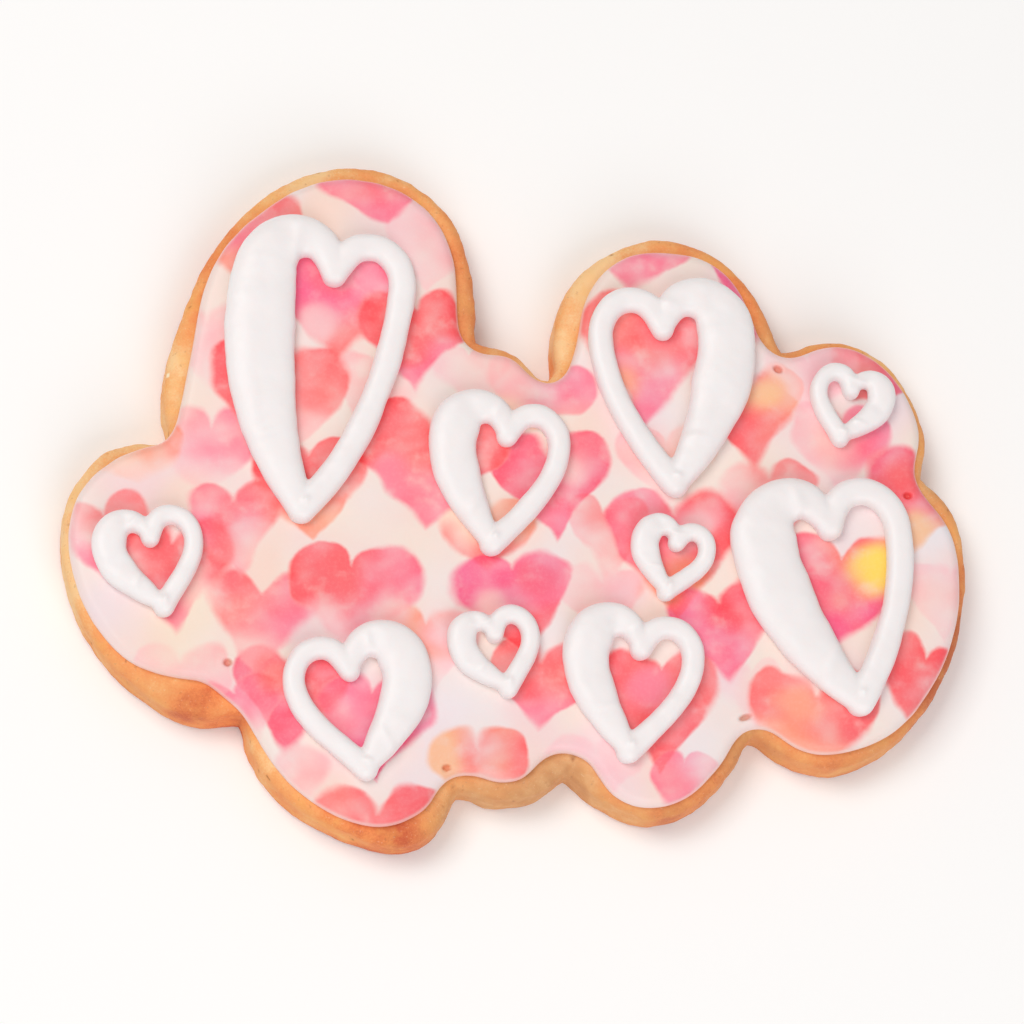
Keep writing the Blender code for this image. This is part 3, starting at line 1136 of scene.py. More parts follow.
# The hearts of the print: (x, y, width, height, turn, left, right, foot).
PRINT = [PrintedHeart(*row) for row in [
    # tall lobe on the left, from its top down
    (-18.2, 42.2, 16.0, 12.0, 10, P.PINK, P.CORAL, P.PINK),
    (-34.0, 32.8, 15.0, 13.0, 8, P.PINK, P.CORAL, P.PEACH),
    (-23.4, 25.2, 16.0, 14.0, 4, P.MAGENTA, P.PINK, P.CORAL),
    (-11.2, 33.0, 13.0, 11.5, -6, P.PALE_PINK, P.PALE_ROSE, P.PALE_PINK),
    (-30.4, 12.2, 18.0, 15.0, 0, P.CORAL_RED, P.CORAL, P.PALE_ROSE),
    (-39.4, 19.4, 13.0, 11.0, 4, P.PALE_PINK, P.PALE_ROSE, P.PALE_PINK),
    (-13.6, 20.8, 14.0, 12.0, 2, P.CORAL_RED, P.CORAL_RED, P.PINK),
    (-18.4, 13.4, 11.5, 10.0, -4, P.PALE_ROSE, P.PALE_PINK, P.PALE_ROSE),
    (-26.6, 1.0, 15.0, 13.0, 3, P.CORAL_RED, P.CORAL, P.PEACH),
    (-11.4, 4.8, 20.0, 16.0, -2, P.CORAL_RED, P.CORAL, P.PINK),
    (-39.6, 5.4, 13.0, 11.0, -6, P.PALE_ROSE, P.PINK, P.PALE_PINK),
    # round lobe on the left
    (-48.4, 5.0, 12.0, 8.0, 6, P.PALE_PEACH, P.PEACH, P.PALE_PEACH),
    (-52.2, -6.4, 12.0, 11.0, 6, P.PALE_ROSE, P.CORAL, P.PINK),
    (-43.3, -10.2, 15.0, 13.0, 0, P.CORAL, P.CORAL_RED, P.PINK),
    (-35.8, -4.6, 12.5, 11.5, 5, P.PINK, P.CORAL, P.PALE_ROSE),
    (-42.0, -24.0, 13.0, 8.0, 0, P.PALE_PINK, P.PALE_ROSE, P.PALE_PINK),
    (-32.6, -16.4, 14.0, 12.0, -5, P.CORAL, P.PINK, P.PALE_ROSE),
    # lower lobes on the left
    (-35.2, -28.6, 12.0, 10.0, 14, P.PINK, P.PINK, P.PALE_PINK),
    (-20.8, -13.4, 17.0, 14.0, 0, P.CORAL_RED, P.PINK, P.PALE_ROSE),
    (-28.6, -26.2, 14.0, 12.5, -4, P.ROSE, P.CORAL_RED, P.ROSE),
    (-18.0, -29.6, 15.0, 13.0, 0, P.PINK, P.PINK, P.MAGENTA),
    (-11.4, -19.8, 12.0, 11.0, 3, P.ORANGE, P.PALE_ROSE, P.PALE_PINK),
    (-17.4, -44.2, 18.0, 14.0, 3, P.CORAL, P.CORAL_RED, P.PINK),
    (-30.2, -37.4, 13.0, 10.0, 8, P.PALE_PINK, P.PALE_ROSE, P.PALE_PINK),
    (-5.0, -35.2, 12.5, 11.0, 0, P.APRICOT, P.CORAL, P.PALE_ROSE),
    # middle
    (-4.2, -4.4, 12.0, 9.0, 0, P.PALE_PEACH, P.PEACH, P.CORAL),
    (-0.6, -13.0, 15.0, 12.5, 8, P.MAGENTA, P.PINK, P.CORAL_RED),
    (4.2, 2.2, 15.0, 13.5, 4, P.ROSE, P.ROSE, P.PINK),
    (3.0, -23.8, 13.5, 10.5, -5, P.CORAL, P.CORAL_RED, P.PINK),
    (10.6, -13.4, 10.5, 10.0, 4, P.PALE_PINK, P.PALE_ROSE, P.PALE_ROSE),
    (11.2, -4.2, 11.0, 10.0, -4, P.PALE_ROSE, P.CORAL, P.PALE_ROSE),
    (9.4, -34.8, 12.0, 9.0, 3, P.PALE_PINK, P.PALE_PINK, P.PALE_PINK),
    (17.5, -26.6, 15.5, 15.0, 0, P.CORAL_RED, P.CORAL, P.CORAL_RED),
    (20.8, -36.8, 9.5, 9.0, -4, P.PINK, P.PALE_ROSE, P.PINK),
    # tall lobe in the middle and the small one beside it
    (2.6, 14.2, 14.0, 10.0, -14, P.PALE_ROSE, P.PINK, P.PALE_PEACH),
    (-6.2, 16.6, 10.0, 8.0, 6, P.PALE_PINK, P.PALE_ROSE, P.PALE_PINK),
    (16.8, 19.8, 18.0, 16.5, 0, P.CORAL, P.CORAL, P.PINK),
    (15.0, 35.4, 18.0, 13.0, -3, P.PALE_ROSE, P.PINK, P.PINK),
    (31.4, 28.4, 14.0, 13.0, -14, P.MAGENTA, P.MAGENTA, P.ROSE),
    (18.6, 5.6, 13.0, 10.0, 3, P.PALE_ROSE, P.PALE_PEACH, P.PALE_PINK),
    (19.8, -6.4, 17.0, 16.5, 0, P.PINK, P.CORAL_RED, P.ORANGE),
    (25.8, -16.2, 14.0, 12.0, 8, P.MAGENTA, P.CORAL_RED, P.PINK),
    # lobes on the right
    (29.8, 12.2, 13.8, 13.0, 0, P.CORAL_RED, P.PEACH, P.CORAL_RED),
    (37.4, 17.4, 12.5, 10.0, 2, P.PALE_PINK, P.PALE_ROSE, P.PALE_PINK),
    (45.6, 19.6, 14.0, 11.0, -24, P.CORAL, P.ROSE, P.CORAL),
    (41.2, 8.0, 13.0, 11.0, -3, P.PALE_ROSE, P.PINK, P.PALE_PINK),
    (51.4, 1.2, 15.0, 12.5, -16, P.ROSE, P.CORAL, P.PEACH),
    (32.2, 0.4, 12.0, 11.0, 5, P.PALE_ROSE, P.CORAL, P.PALE_ROSE),
    (40.8, -10.8, 17.0, 15.0, -5, P.ROSE, P.PEACH, P.MAGENTA),
    (54.4, -11.4, 11.0, 10.0, 0, P.PALE_PINK, P.PALE_ROSE, P.PALE_PINK),
    (51.0, -22.2, 12.5, 10.5, -12, P.CORAL_RED, P.CORAL_RED, P.CORAL),
    (37.4, -27.2, 17.0, 12.0, 0, P.CORAL, P.CORAL, P.PEACH),
    (29.6, -24.4, 9.0, 8.0, 0, P.PALE_PINK, P.PALE_PINK, P.PALE_PINK),
]]

# Spots inside the hearts where another colour was washed in: (x, y, reach, colour).
WASHES = [
    (45.4, -7.8, 3.4, P.YELLOW), (36.6, -12.4, 3.2, P.ROSE), (39.6, -18.0, 3.4, P.MAGENTA),
    (-24.2, 29.0, 3.0, P.ROSE), (-25.6, 22.4, 2.4, P.PALE_ROSE), (-33.0, 9.0, 3.0, P.PALE_ROSE),
    (-16.0, 2.0, 3.0, P.PINK), (-6.6, 8.2, 2.8, P.CORAL), (18.6, 24.0, 3.4, P.CORAL_RED),
    (13.0, 15.4, 2.6, P.PEACH), (22.6, -2.6, 2.8, P.PALE_ROSE), (18.0, -11.6, 2.6, P.PEACH),
    (31.4, 14.6, 2.6, P.APRICOT), (-45.4, -6.8, 2.6, P.CORAL_RED), (-40.0, -13.6, 2.4, P.PALE_ROSE),
    (-22.6, -10.0, 3.0, P.CORAL_RED), (-16.4, -15.8, 2.6, P.PALE_ROSE), (-30.4, -23.6, 2.6, P.CORAL),
    (2.4, -10.2, 2.8, P.ROSE), (-3.6, -14.0, 2.4, P.PALE_ROSE), (6.8, 4.4, 2.6, P.PALE_ROSE),
    (35.0, -26.0, 3.0, P.PEACH), (43.0, -27.4, 3.0, P.CORAL_RED), (-12.6, -42.6, 3.0, P.CORAL_RED),
    (49.0, 4.0, 2.6, P.CORAL_RED), (30.6, 30.0, 2.6, P.ROSE), (16.4, -24.0, 3.0, P.PINK),
    (51.6, -2.6, 2.6, P.APRICOT), (-9.6, -33.6, 2.8, P.APRICOT),
]

# Tints of the ground between the hearts: (x, y, reach, tint).
GROUND = [
    (-21.0, 8.6, 5.0, P.CREAM), (-18.0, -3.6, 4.5, P.CREAM), (-9.0, 15.5, 4.0, P.CREAM),
    (-10.0, 13.0, 2.5, P.COOL_WHITE), (-47.0, 3.5, 3.0, P.PALE_PEACH), (-43.2, -17.2, 3.2, P.PALE_YELLOW),
    (-50.0, -15.0, 4.0, P.LAVENDER), (-40.0, -20.0, 2.5, P.CREAM), (-32.0, -31.0, 3.0, P.CREAM),
    (-22.0, -22.5, 2.5, P.COOL_WHITE), (-12.0, -33.0, 4.0, P.LAVENDER), (-8.0, -28.0, 4.0, P.COOL_WHITE),
    (3.0, -19.4, 2.5, P.COOL_WHITE), (3.0, -6.4, 2.5, P.COOL_WHITE), (10.0, -30.0, 5.0, P.PALE_PINK),
    (28.0, 22.0, 4.0, P.COOL_WHITE), (19.5, 10.0, 3.0, P.COOL_WHITE), (12.0, 29.5, 3.0, P.CREAM),
    (26.4, 4.0, 3.0, P.CREAM), (25.5, -9.8, 2.5, P.CREAM), (27.0, -23.5, 3.0, P.COOL_WHITE),
    (23.5, -31.0, 2.5, P.COOL_WHITE), (46.4, -16.4, 3.0, P.CREAM), (54.0, -4.0, 3.0, P.COOL_WHITE),
    (49.0, 12.0, 3.5, P.LAVENDER), (46.5, -27.0, 3.0, P.COOL_WHITE), (41.0, -1.6, 3.0, P.LAVENDER),
    (-9.0, 38.0, 4.0, P.PALE_PINK), (-36.0, 25.0, 4.0, P.CREAM), (-30.0, 22.0, 4.0, P.WARM_WHITE),
    (0.0, 9.5, 4.0, P.CREAM), (8.0, -38.0, 4.0, P.PALE_PINK), (-56.0, -2.0, 4.0, P.WARM_WHITE),
]


@dataclass(frozen=True)
class PrintedSheet:
    """The sheet of base icing: a round shoulder, a faintly uneven top, pinholes and the print."""

    node: str = "base_icing"
    slot: str = "printed_icing"
    around: int = 1200
    foot: float = 6.1
    tuck: float = 0.25
    shoulder: float = 1.35
    shoulder_inset: float = 1.25
    pitch: float = 0.33
    under_pitch: float = 4.0
    margin: float = 0.7
    layers: int = 4
    spacing: float = 0.46
    clear: float = 0.8
    waver: float = 0.42
    outside: float = -6.0
    sag: float = 0.035
    edge_sag: float = 0.10
    lip: float = 0.05
    draw_in: float = 0.10
    hearts: Sequence[PrintedHeart] = tuple(PRINT)
    washes: Sequence[tuple[float, float, float, Pigment]] = tuple(WASHES)
    ground: Sequence[tuple[float, float, float, Pigment]] = tuple(GROUND)
    # Pinholes: (x, y, long half, wide half, turn).
    pits: Sequence[tuple[float, float, float, float, float]] = (
        (-36.5, -22.0, 0.60, 0.55, 0.0),
        (-9.1, -34.8, 0.60, 0.50, 0.0),
        (28.5, -27.5, 0.90, 0.45, 20.0),
        (49.8, 1.9, 0.60, 0.50, 0.0),
        (33.3, 18.2, 0.70, 0.50, -30.0),
    )
    pit_depth: float = 0.55

    def profile(self, top: float) -> Array:
        """Return the side's outline from the foot to the top.

        Args:
            top: the sheet's highest level (mm).

        Returns:
            Rows of (inset, height): a tucked foot, a widest line and a round shoulder.
        """
        rise = np.linspace(0.0, 1.0, 7)[:-1]
        widest = top - self.shoulder
        low = np.column_stack([self.tuck * (1.0 - rise) ** 2, self.foot + (widest - self.foot) * rise])
        angle = np.radians(np.linspace(0.0, 90.0, 10))
        high = np.column_stack([
            self.shoulder_inset * (1.0 - np.cos(angle)), widest + self.shoulder * np.sin(angle)])
        return np.vstack([low, high])

    def pit_radius(self, points: Array) -> Array:
        """Return each point's distance from the nearest pinhole.

        Args:
            points: the places, in millimetres.

        Returns:
            The distance in half sizes of that pinhole.
        """
        nearest = np.full(len(points), np.inf)
        for x, y, long_half, wide_half, turn in self.pits:
            local = (points[:, :2] - (x, y)) @ turning(-turn) / (long_half, wide_half)
            nearest = np.minimum(nearest, np.linalg.norm(local, axis=1))
        return nearest

    def pit_points(self) -> Array:
        """Return extra points in circles round each pinhole, so that its wall is smooth."""
        radius = np.linspace(0.15, 1.5, 10)
        angle = np.linspace(0.0, 2.0 * math.pi, 20, endpoint=False)
        circle = np.stack([np.outer(radius, np.cos(angle)), np.outer(radius, np.sin(angle))], axis=2)
        circle = circle.reshape(-1, 2)
        return np.vstack([
            (circle * (long_half, wide_half)) @ turning(turn) + (x, y)
            for x, y, long_half, wide_half, turn in self.pits])

    def level(self, points: Array, depth: Array) -> Array:
        """Return how far the top lies below its highest level (mm).

        It dips in soft patches, and towards the edge by exp(-depth / 2.2). A pinhole's floor lies
        deepest, and a low lip runs round it where its radius is 1.45.

        Args:
            points: the places, in millimetres.
            depth: how far inside the sheet's edge they are.

        Returns:
            One drop for each point.
        """
        flat = points[:, :2]
        uneven = self.sag * (1.0 + 0.6 * ripple(flat, 7.0, 31) + 0.3 * ripple(flat, 2.6, 32))
        edge = self.edge_sag * np.exp(-np.maximum(depth, 0.0) / 2.2)
        radius = self.pit_radius(points)
        lip = self.lip * np.exp(-((radius - 1.45) / 0.35) ** 2)
        return np.maximum(uneven, 0.0) + edge + self.pit_depth * (1.0 - ease(0.35, 1.2, radius)) - lip

    def in_layers(self) -> list[list[PrintedHeart]]:
        """Sort the hearts into layers of ink, so that hearts in one layer keep apart.

        Returns:
            For each layer its hearts; a heart goes where it has room, or else the most of it.
        """
        layers: list[list[PrintedHeart]] = [[] for _ in range(self.layers)]
        for heart in self.hearts:
            room = [
                min([max(
                    abs(heart.x - other.x) - self.spacing * (heart.width + other.width),
                    abs(heart.y - other.y) - self.spacing * (heart.height + other.height))
                    for other in layer], default=math.inf)
                for layer in layers]
            free = [k for k, gap in enumerate(room) if gap > self.clear]
            layers[free[0] if free else int(np.argmax(room))].append(heart)
        return layers

    def print_on(self, mesh: bpy.types.Mesh, points: Array) -> None:
        """Keep on the vertices how far inside each layer's hearts they are, and that layer's ink.

        Args:
            mesh: the sheet's mesh.
            points: its vertices' places, in millimetres.
        """
        flat = points[:, :2]
        bent = flat + self.waver * drift(flat, 5.0, 41)
        wash = ripple(flat, 4.5, 43)
        strength = 0.86 + 0.20 * ripple(flat, 3.6, 44) + 0.07 * ripple(flat, 1.4, 45)
        for number, hearts in enumerate(self.in_layers()):
            reach = np.full(len(flat), self.outside)
            ink = np.zeros((len(flat), 3))
            for heart in hearts:
                upright = heart.upright(bent)
                inside = heart.reach(upright)
                nearer = inside > reach
                reach[nearer] = inside[nearer]
                ink[nearer] = heart.ink(upright[nearer], inside[nearer], wash[nearer], strength[nearer])
            for x, y, wide, tint in self.washes:
                away = ((bent - (x, y)) ** 2).sum(axis=1)
                share = np.exp(-((away / wide**2) ** 2))[:, None]
                ink = ink * (1.0 - share) + share * tint.ink()
            paint(mesh, f"print_reach_{number}", reach)
            paint(mesh, f"print_ink_{number}", np.exp(ink))

    def ground_tint(self, points: Array) -> Array:
        """Return the tint between the hearts.

        Four plain tints share the ground by random fields, and each named patch adds its own
        tint with a bell-shaped weight.

        Args:
            points: the places, in millimetres.

        Returns:
            One linear colour for each point.
        """
        flat = points[:, :2]
        plain = (Pigment.WARM_WHITE, Pigment.PALE_PEACH, Pigment.PALE_PINK, Pigment.CREAM)
        total = np.zeros((len(flat), 3))
        weight = np.zeros(len(flat))
        for number, tint in enumerate(plain):
            share = np.exp(1.8 * ripple(flat, 8.0, 51 + number))
            total += share[:, None] * tint.light()
            weight += share
        bent = flat + 0.8 * drift(flat, 4.0, 56)
        for x, y, reach, tint in self.ground:
            share = 7.0 * bell(bent, x, y, reach)
            total += share[:, None] * tint.light()
            weight += share
        return total / weight[:, None]

    def edge(self) -> Outline:
        """Return the sheet's edge, drawn in a little and uneven as set icing is."""
        even = Outline.around(self.node, self.around)
        wobble = 0.06 * ripple(even.loop, 6.0, 33) + 0.012 * ripple(even.loop, 2.0, 34)
        return Outline(even.loop + even.inward * (self.draw_in + wobble)[:, None])

    def shape(self, edge: Outline, top: float) -> tuple[Array, list]:
        """Return the even sheet, with finer points round the pinholes.

        Args:
            edge: the sheet's edge.
            top: its highest level (mm).

        Returns:
            The points and the faces.
        """
        side = edge.rings(self.profile(top))
        top_edge, foot = Outline(side[-self.around:, :2]), Outline(side[:self.around, :2])
        upper = top_edge.lattice(edge.loop, self.pitch, self.margin * self.pitch)
        pits = self.pit_points()
        pits = pits[top_edge.depth(pits) > 0.5 * self.pitch]
        upper = np.vstack([upper[self.pit_radius(upper) > 1.6], pits])
        under = foot.lattice(edge.loop, self.under_pitch, 0.5 * self.under_pitch)
        return closed_slab(side, self.around, upper, under)

    def dress(self, mesh: bpy.types.Mesh, points: Array, depth: Array) -> None:
        """Keep the print, the ground's tint, the pale rim, partly a painted highlight, and the pinholes
        on the vertices.

        Args:
            mesh: the sheet's mesh.
            points: the vertices, in millimetres.
            depth: how far inside the edge they are (mm).
        """
        self.print_on(mesh, points)
        paint(mesh, "ground", self.ground_tint(points))
        # pale rim along the edge: partly the thin icing's paler colour, partly a painted highlight
        paint(mesh, "rim", 0.60 * (1.0 - ease(0.05, 0.38, depth)))
        paint(mesh, "pit", 0.65 * (1.0 - ease(0.50, 1.15, self.pit_radius(points))))

    def build(self) -> bpy.types.Object:
        """Make the sheet in place of its solid."""
        edge = self.edge()
        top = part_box(self.node)[1].z / MM
        points, faces = self.shape(edge, top)
        depth = edge.depth(points)
        share = ease(top - self.shoulder - 0.3, top, points[:, 2])
        points[:, 2] -= share * self.level(points, depth)
        piece = mesh_object("printed_icing_sheet", points, faces)
        self.dress(piece.data, points, depth)
        place(piece, PrintedFinish(self.layers).material(), self.node)
        return piece


# The piped hearts


class Half(Enum):
    """The two halves of a piped heart, by the sign that mirrors the left half's path."""

    LEFT = 1.0
    RIGHT = -1.0


@dataclass(frozen=True)
class Bead:
    """A line of piped icing: a domed section carried along a path, with round ends."""

    path: Array
    widths: Array
    tops: Array
    foot: float
    squareness: float = 2.7
    widest: float = 0.34
    foot_draw: float = 0.13
    cap_steps: int = 8

    def section(self) -> tuple[Array, Array]:
        """Return the section as shares of the width, -0.5 to 0.5, and of the height, 0 to 1.

        Above the widest height it is a superellipse; below, the sides draw in by a square law.

        Returns:
            The shares of the width and of the height, over the top from left to right and back.
        """
        angle = np.linspace(math.pi, 0.0, 21)
        power = 2.0 / self.squareness
        across = 0.5 * np.copysign(np.abs(np.cos(angle)) ** power, np.cos(angle))
        lift = self.widest + (1.0 - self.widest) * np.maximum(np.sin(angle), 0.0) ** power
        down = np.linspace(0.0, 1.0, 5)[1:]
        right = 0.5 - self.foot_draw * down**2
        low = self.widest * (1.0 - down)
        return np.concatenate([across, right, -right[::-1]]), np.concatenate([lift, low, low[::-1]])

    def surface(self) -> tuple[Array, Array]:
        """Carry the section along the path; the two ends shrink by a quarter round.

        Returns:
            The rings' points and the quads between them.
        """
        along = headings(self.path)
        turn = np.radians(np.linspace(0.0, 89.0, self.cap_steps + 1))[1:]
        ends = (self.cap_steps, self.cap_steps)
        first = self.path[0] - np.outer(np.sin(turn[::-1]), along[0]) * self.widths[0] / 2.0
        last = self.path[-1] + np.outer(np.sin(turn), along[-1]) * self.widths[-1] / 2.0
        middle = np.vstack([first, self.path, last])
        side = np.pad(np.column_stack([along[:, 1], -along[:, 0]]), (ends, (0, 0)), mode="edge")
        shrink = np.concatenate([np.cos(turn[::-1]), np.ones(len(self.path)), np.cos(turn)])
        width = np.pad(self.widths, ends, mode="edge") * shrink
        height = np.pad(self.tops - self.foot, ends, mode="edge") * shrink**0.6
        across, lift = self.section()
        flat = middle[:, None, :] + side[:, None, :] * (width[:, None] * across)[:, :, None]
        rings = np.concatenate([flat, (self.foot + height[:, None] * lift)[:, :, None]], axis=2)
        count = len(across)
        quads = ring_faces(len(rings), count)
        return rings.reshape(-1, 3), quads


@dataclass(frozen=True)
class HandMark:
    """A dimple or a ridge in the thick half, where the piping bag paused or pressed.

    Its place is a share of the way from the cleft to the tip. Its height is in millimetres, and
    its two reaches are shares of the line's full width.
    """

    way: float
    height: float
    long_reach: float
    short_reach: float


@dataclass(frozen=True)
class PipedHeart:
    """A heart piped in white icing: a thick half and a thin half that flow together."""

    name: str
    x: float
    y: float
    width: float
    height: float
    turn: float
    thick: float
    thin: float
    thick_half: Half
    seed: int
    slot: str = "white_piping"
    foot: float = 7.80
    gap: float = 0.3
    voxel: float = 0.20
    path_step: float = 0.4
    thin_bead: tuple[float, float] = (2.5, 1.8)
    thick_bead_width: float = 8.0
    thick_swell: Sequence[tuple[float, float]] = (
        (0.0, 0.36), (0.10, 0.54), (0.34, 1.0), (0.62, 0.97), (0.85, 0.66), (1.0, 0.38))
    thin_swell: Sequence[tuple[float, float]] = ((0.0, 0.95), (0.12, 1.0), (0.60, 0.96), (1.0, 1.05))
    headroom: float = 0.14
    waver: float = 0.020
    tremble: float = 0.006
    nod: float = 0.004
    marks: Sequence[HandMark] = (
        HandMark(0.24, -0.20, 0.26, 0.18), HandMark(0.62, -0.15, 0.34, 0.20),
        HandMark(0.14, 0.19, 0.34, 0.09), HandMark(0.80, 0.17, 0.30, 0.09))
    stray: float = 0.05
    aside: float = 0.12
    most_slant: float = 0.6
    # The peak left at the tip: its shift in shares of the thin line, and its reaches in millimetres.
    peak: float = 0.30
    peak_shift: tuple[float, float] = (0.10, 0.25)
    peak_slant: float = 0.5
    peak_reach: tuple[float, float] = (0.55, 0.42)

    @property
    def node(self) -> str:
        """The name of the solid that the heart replaces."""
        return f"piped_heart_{self.name}"

    def half_path(self) -> Array:
        """Return the middle line of the left half, from the cleft over the hump to the tip.

        Three cubic pieces join four stops: slanting up from the cleft to the hump's top, round to
        the widest point, and down in a long easy curve to the tip.

        Returns:
            Points in even steps (mm).
        """
        hump = self.width / 4.0
        top = self.height / 2.0
        stops = np.array([
            (0.0, top - 0.95 * hump), (-hump, top), (-self.width / 2.0, top - 1.25 * hump), (0.0, -top)])
        drop = np.linalg.norm(stops[3] - stops[2])
        leave = np.array([(-0.75 * hump, 1.75 * hump), (-1.7 * hump, 0.0), (0.0, -0.95 * drop)])
        arrive = np.array([(-1.7 * hump, 0.0), (0.0, -2.1 * hump), (0.62 * drop, -0.80 * drop)])
        s = np.linspace(0.0, 1.0, 60, endpoint=False)[:, None]
        pieces = [
            (2 * s**3 - 3 * s**2 + 1) * stops[k]
            + (s**3 - 2 * s**2 + s) * leave[k]
            + (3 * s**2 - 2 * s**3) * stops[k + 1]
            + (s**3 - s**2) * arrive[k]
            for k in range(3)]
        path = np.vstack(pieces + [stops[3:]])
        along = np.concatenate([[0.0], np.cumsum(np.linalg.norm(np.diff(path, axis=0), axis=1))])
        stops_at = np.linspace(0.0, along[-1], round(along[-1] / self.path_step))
        return np.column_stack([np.interp(stops_at, along, path[:, k]) for k in range(2)])

    def on_biscuit(self, path: Array) -> Array:
        """Return a path turned and moved to the heart's place."""
        return path @ turning(self.turn) + (self.x, self.y)

    def bead(self, half: Half, top: float) -> Bead:
        """Return one half's bead; its width swells along the way and wavers a little, as by hand.

        Args:
            half: which half.
            top: the height that the tallest heart reaches (mm).

        Returns:
            The bead: its top rises in a straight line with its width.
        """
        full, swell = (
            (self.thick, self.thick_swell) if half is self.thick_half else (self.thin, self.thin_swell))
        path = self.half_path()
        way = np.linspace(0.0, 1.0, len(path))
        widths = np.interp(way, *zip(*swell))
        ends = len(path) // 12
        padded = np.pad(widths, ends, mode="edge")
        weight = np.hanning(2 * ends + 1)
        widths = full * np.convolve(padded, weight / weight.sum(), mode="valid")
        distance = way[:, None] * len(path) * self.path_step
        seed = self.seed + (7 if half is Half.RIGHT else 0)
        uneven = self.waver * ripple(distance, 7.0, seed, 12)
        uneven += self.tremble * ripple(distance, 2.6, seed + 1, 12)
        widths *= 1.0 + uneven
        path = self.on_biscuit(path * (half.value, 1.0))
        cad_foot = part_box("base_icing")[1].z / MM + self.gap
        full_rise = top - self.headroom - cad_foot
        tops = cad_foot + np.interp(
            widths, [self.thin_bead[0], self.thick_bead_width], [self.thin_bead[1], full_rise])
        tops *= 1.0 + self.nod * ripple(distance, 4.0, seed + 2, 12)
        return Bead(path, widths, np.minimum(tops, top), self.foot)

    def hand_marks(self, points: Array) -> Array:
        """Return how far the icing stands up or sinks where the bag paused or let go.

        Each mark lies across or along the thick half, a little astray and slanting, and the last
        one is a small peak left at the tip.

        Args:
            points: the places on the heart, in millimetres.

        Returns:
            One height for each point (mm).
        """
        draw = np.random.default_rng(self.seed + 50)
        path = self.half_path() * (self.thick_half.value, 1.0)
        along = headings(path)
        flat = (points[:, :2] - (self.x, self.y)) @ turning(-self.turn)
        total = np.zeros(len(points))
        for mark in self.marks:
            step = int((mark.way + draw.uniform(-self.stray, self.stray)) * (len(path) - 1))
            across = np.array([along[step, 1], -along[step, 0]])
            middle = path[step] + across * self.thick * draw.uniform(-self.aside, self.aside)
            heading = across @ turning(math.degrees(draw.uniform(-self.most_slant, self.most_slant)))
            reach = self.thick * np.array([mark.long_reach, mark.short_reach])
            total += mark.height * self.mound(flat - middle, heading, reach)
        tip = path[-1] + np.array(self.peak_shift) * self.thin
        across = np.array([along[-1, 1], -along[-1, 0]])
        heading = across @ turning(math.degrees(self.peak_slant))
        return total + self.peak * self.mound(flat - tip, heading, self.peak_reach)

    @staticmethod
    def mound(gap: Array, heading: Array, reach: Sequence[float]) -> Array:
        """Return 1 in a mound's middle, falling by exp(-(u / long)^2 - (v / short)^2).

        Args:
            gap: the points measured from the middle.
            heading: the unit vector along which u is measured; v is square to it.
            reach: the long and the short reach.

        Returns:
            One share for each point.
        """
        u = gap @ heading
        v = gap @ np.array([-heading[1], heading[0]])
        return np.exp(-((u / reach[0]) ** 2) - (v / reach[1]) ** 2)

    def joined(self, beads: Sequence[Bead]) -> bpy.types.Mesh:
        """Join the beads to one skin: voxels join them, and smoothing lets them flow together.

        Args:
            beads: the two halves.

        Returns:
            The mesh.
        """
        points, faces, first = [], [], 0
        for bead in beads:
            rows, quads = bead.surface()
            points.append(rows)
            faces.extend((quads + first).tolist())
            count = len(bead.section()[0])
            faces.append((first + np.arange(count)[::-1]).tolist())
            faces.append((first + len(rows) - count + np.arange(count)).tolist())
            first += len(rows)
        draft = bpy.data.meshes.new("draft")
        draft.from_pydata(np.vstack(points), [], faces)
        holder = bpy.data.objects.new("draft", draft)
        bpy.context.scene.collection.objects.link(holder)
        skin = holder.modifiers.new("skin", "REMESH")
        skin.mode = "VOXEL"
        skin.voxel_size = self.voxel
        flow = holder.modifiers.new("flow", "SMOOTH")
        flow.factor = 0.5
        flow.iterations = 12
        view = bpy.context.evaluated_depsgraph_get()
        view.update()
        mesh = bpy.data.meshes.new_from_object(holder.evaluated_get(view))
        bpy.data.objects.remove(holder, do_unlink=True)
        bpy.data.meshes.remove(draft)
        return mesh

    def build(self, material: bpy.types.Material) -> bpy.types.Object:
        """Make the heart in place of its solid.

        Args:
            material: the piping's material.

        Returns:
            The piece.
        """
        top = max(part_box(f"piped_heart_{name}")[1].z for name in HEART_NAMES) / MM
        mesh = self.joined([self.bead(half, top) for half in Half])
        points = read_points(mesh)
        normal = read_points(mesh, "normal")
        swell = 0.036 * ripple(points, 3.2, self.seed + 3) + 0.014 * ripple(points, 1.2, self.seed + 4)
        points += normal * (swell - 0.01)[:, None]
        points[:, 2] += self.hand_marks(points) * ease(0.0, 0.9, normal[:, 2])
        points[:, 2] = np.minimum(points[:, 2], top)
        write_points(mesh, points * MM)
        mesh.shade_smooth()
        piece = bpy.data.objects.new(f"piped_white_{self.name}", mesh)
        mesh.name = piece.name
        bpy.context.scene.collection.objects.link(piece)
        place(piece, material, self.node)
        return piece


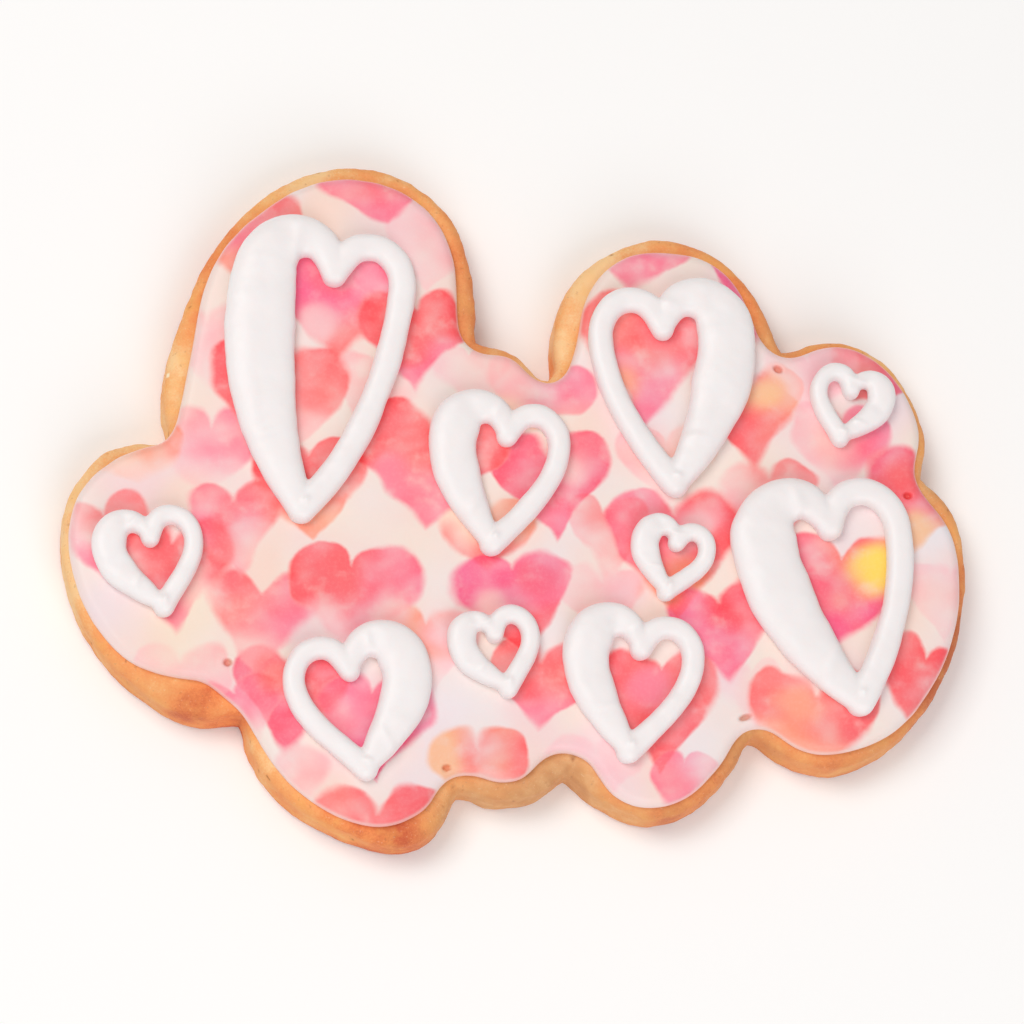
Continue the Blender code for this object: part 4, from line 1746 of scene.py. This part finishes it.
# The piped hearts: (name, x, y, width, height, turn, thick, thin, thick half, seed).
HEARTS = [PipedHeart(*row) for row in [
    ("tall_left", -25.4, 15.4, 17.7, 35.5, -7.0, 9.0, 3.6, Half.LEFT, 100),
    ("tall_middle", 18.9, 14.6, 16.2, 24.5, 4.0, 7.6, 3.3, Half.RIGHT, 120),
    ("far_right", 40.9, -12.0, 17.4, 27.0, 9.0, 8.6, 3.6, Half.LEFT, 140),
    ("middle", -2.4, 2.6, 13.6, 17.5, -8.0, 6.2, 3.0, Half.LEFT, 160),
    ("low_left", -20.6, -27.4, 14.2, 16.0, 10.0, 6.4, 3.0, Half.RIGHT, 180),
    ("low_middle", 14.6, -24.2, 13.6, 16.5, -7.0, 6.0, 3.0, Half.LEFT, 200),
    ("left", -45.8, -9.6, 10.6, 11.5, 12.0, 4.4, 2.6, Half.LEFT, 220),
    ("upper_right", 42.0, 13.2, 8.2, 8.4, -14.0, 3.6, 2.4, Half.RIGHT, 240),
    ("low_centre", -2.6, -20.2, 8.8, 9.2, 14.0, 3.8, 2.5, Half.LEFT, 260),
    ("centre_right", 19.4, -7.6, 8.0, 8.4, -12.0, 3.7, 2.4, Half.LEFT, 280),
]]
HEART_NAMES = [heart.name for heart in HEARTS]


# The studio


@dataclass(frozen=True)
class SoftLight:
    """A square soft light that faces the biscuit; its place and size are in millimetres."""

    name: str
    at: tuple[float, float, float]
    size: float
    power: float
    tint: tuple[int, int, int]

    def hang(self, target: Vector) -> None:
        """Hang the light and aim it.

        Args:
            target: the point that it faces, in metres.
        """
        data = bpy.data.lights.new(self.name, "AREA")
        data.size = self.size * MM
        data.energy = self.power
        data.color = screen_colour(self.tint)
        lamp = bpy.data.objects.new(self.name, data)
        lamp.location = Vector(self.at) * MM
        lamp.rotation_euler = (target - lamp.location).to_track_quat("-Z", "Y").to_euler()
        bpy.context.scene.collection.objects.link(lamp)


@dataclass(frozen=True)
class Studio:
    """A pale floor, soft lights and the camera at the photograph's angle."""

    target: tuple[float, float, float] = (-0.52, -0.59, 4.0)
    distance: float = 620.0
    lean_front: float = 15.0
    lean_left: float = 6.0
    lens: float = 171.5
    sensor: float = 36.0
    floor_half: float = 1500.0
    floor_colour: tuple[int, int, int] = (250, 249, 248)
    floor_shade: tuple[int, int, int] = (246, 245, 244)
    sky: float = 0.42
    sky_tint: tuple[float, float, float] = (1.0, 0.99, 0.985)
    lights: Sequence[SoftLight] = (
        SoftLight("key", (-400.0, 250.0, 880.0), 520.0, 4.35, (255, 253, 250)),
        SoftLight("fill", (160.0, -640.0, 560.0), 600.0, 2.75, (253, 253, 255)))

    def camera(self) -> None:
        """Aim the camera: it leans from straight above towards the front and the left."""
        data = bpy.data.cameras.new("camera")
        data.lens = self.lens
        data.sensor_width = self.sensor
        data.clip_start, data.clip_end = 0.01, 20.0
        camera = bpy.data.objects.new("camera", data)
        back = Vector((
            -math.tan(math.radians(self.lean_left)), -math.tan(math.radians(self.lean_front)), 1.0))
        back.normalize()
        right = (-back).cross(Vector((0.0, 1.0, 0.0))).normalized()
        up = back.cross(right)
        turn = Matrix((right, up, back)).transposed().to_4x4()
        place_at = Vector(self.target) * MM + back * self.distance * MM
        camera.matrix_world = Matrix.Translation(place_at) @ turn
        bpy.context.scene.collection.objects.link(camera)
        bpy.context.scene.camera = camera

    def floor(self) -> None:
        """Lay the floor."""
        half = self.floor_half
        corners = np.array([(-1, -1, 0), (1, -1, 0), (1, 1, 0), (-1, 1, 0)]) * half
        floor = mesh_object("floor", corners, [(0, 1, 2, 3)])
        graph = Graph("pale_floor")
        shade = graph.mix(
            graph.noise(40.0, 3.0) * 0.3, screen_colour(self.floor_colour),
            screen_colour(self.floor_shade))
        graph.set(Base_Color=shade, Roughness=0.9, Emission_Color=(1.0, 1.0, 1.0), Emission_Strength=0.05)
        floor.data.materials.append(graph.material)

    def build(self) -> None:
        """Make the floor, the lights and the camera."""
        self.floor()
        for light in self.lights:
            light.hang(Vector(self.target) * MM)
        world = bpy.data.worlds.new("soft_room")
        world.use_nodes = True
        backdrop = world.node_tree.nodes["Background"]
        backdrop.inputs["Color"].default_value = (*self.sky_tint, 1.0)
        backdrop.inputs["Strength"].default_value = self.sky
        bpy.context.scene.world = world
        bpy.context.scene.view_settings.view_transform = "Standard"
        self.camera()
        LOG.info("studio ready")


def main() -> None:
    """Build the studio, the biscuit, its base icing and the piped hearts, in that order."""
    logging.basicConfig(level=logging.INFO, format="%(message)s")
    Studio().build()
    Biscuit().build()
    PrintedSheet().build()
    material = PipingFinish().material()
    for heart in HEARTS:
        heart.build(material)


if __name__ == "__main__":
    main()
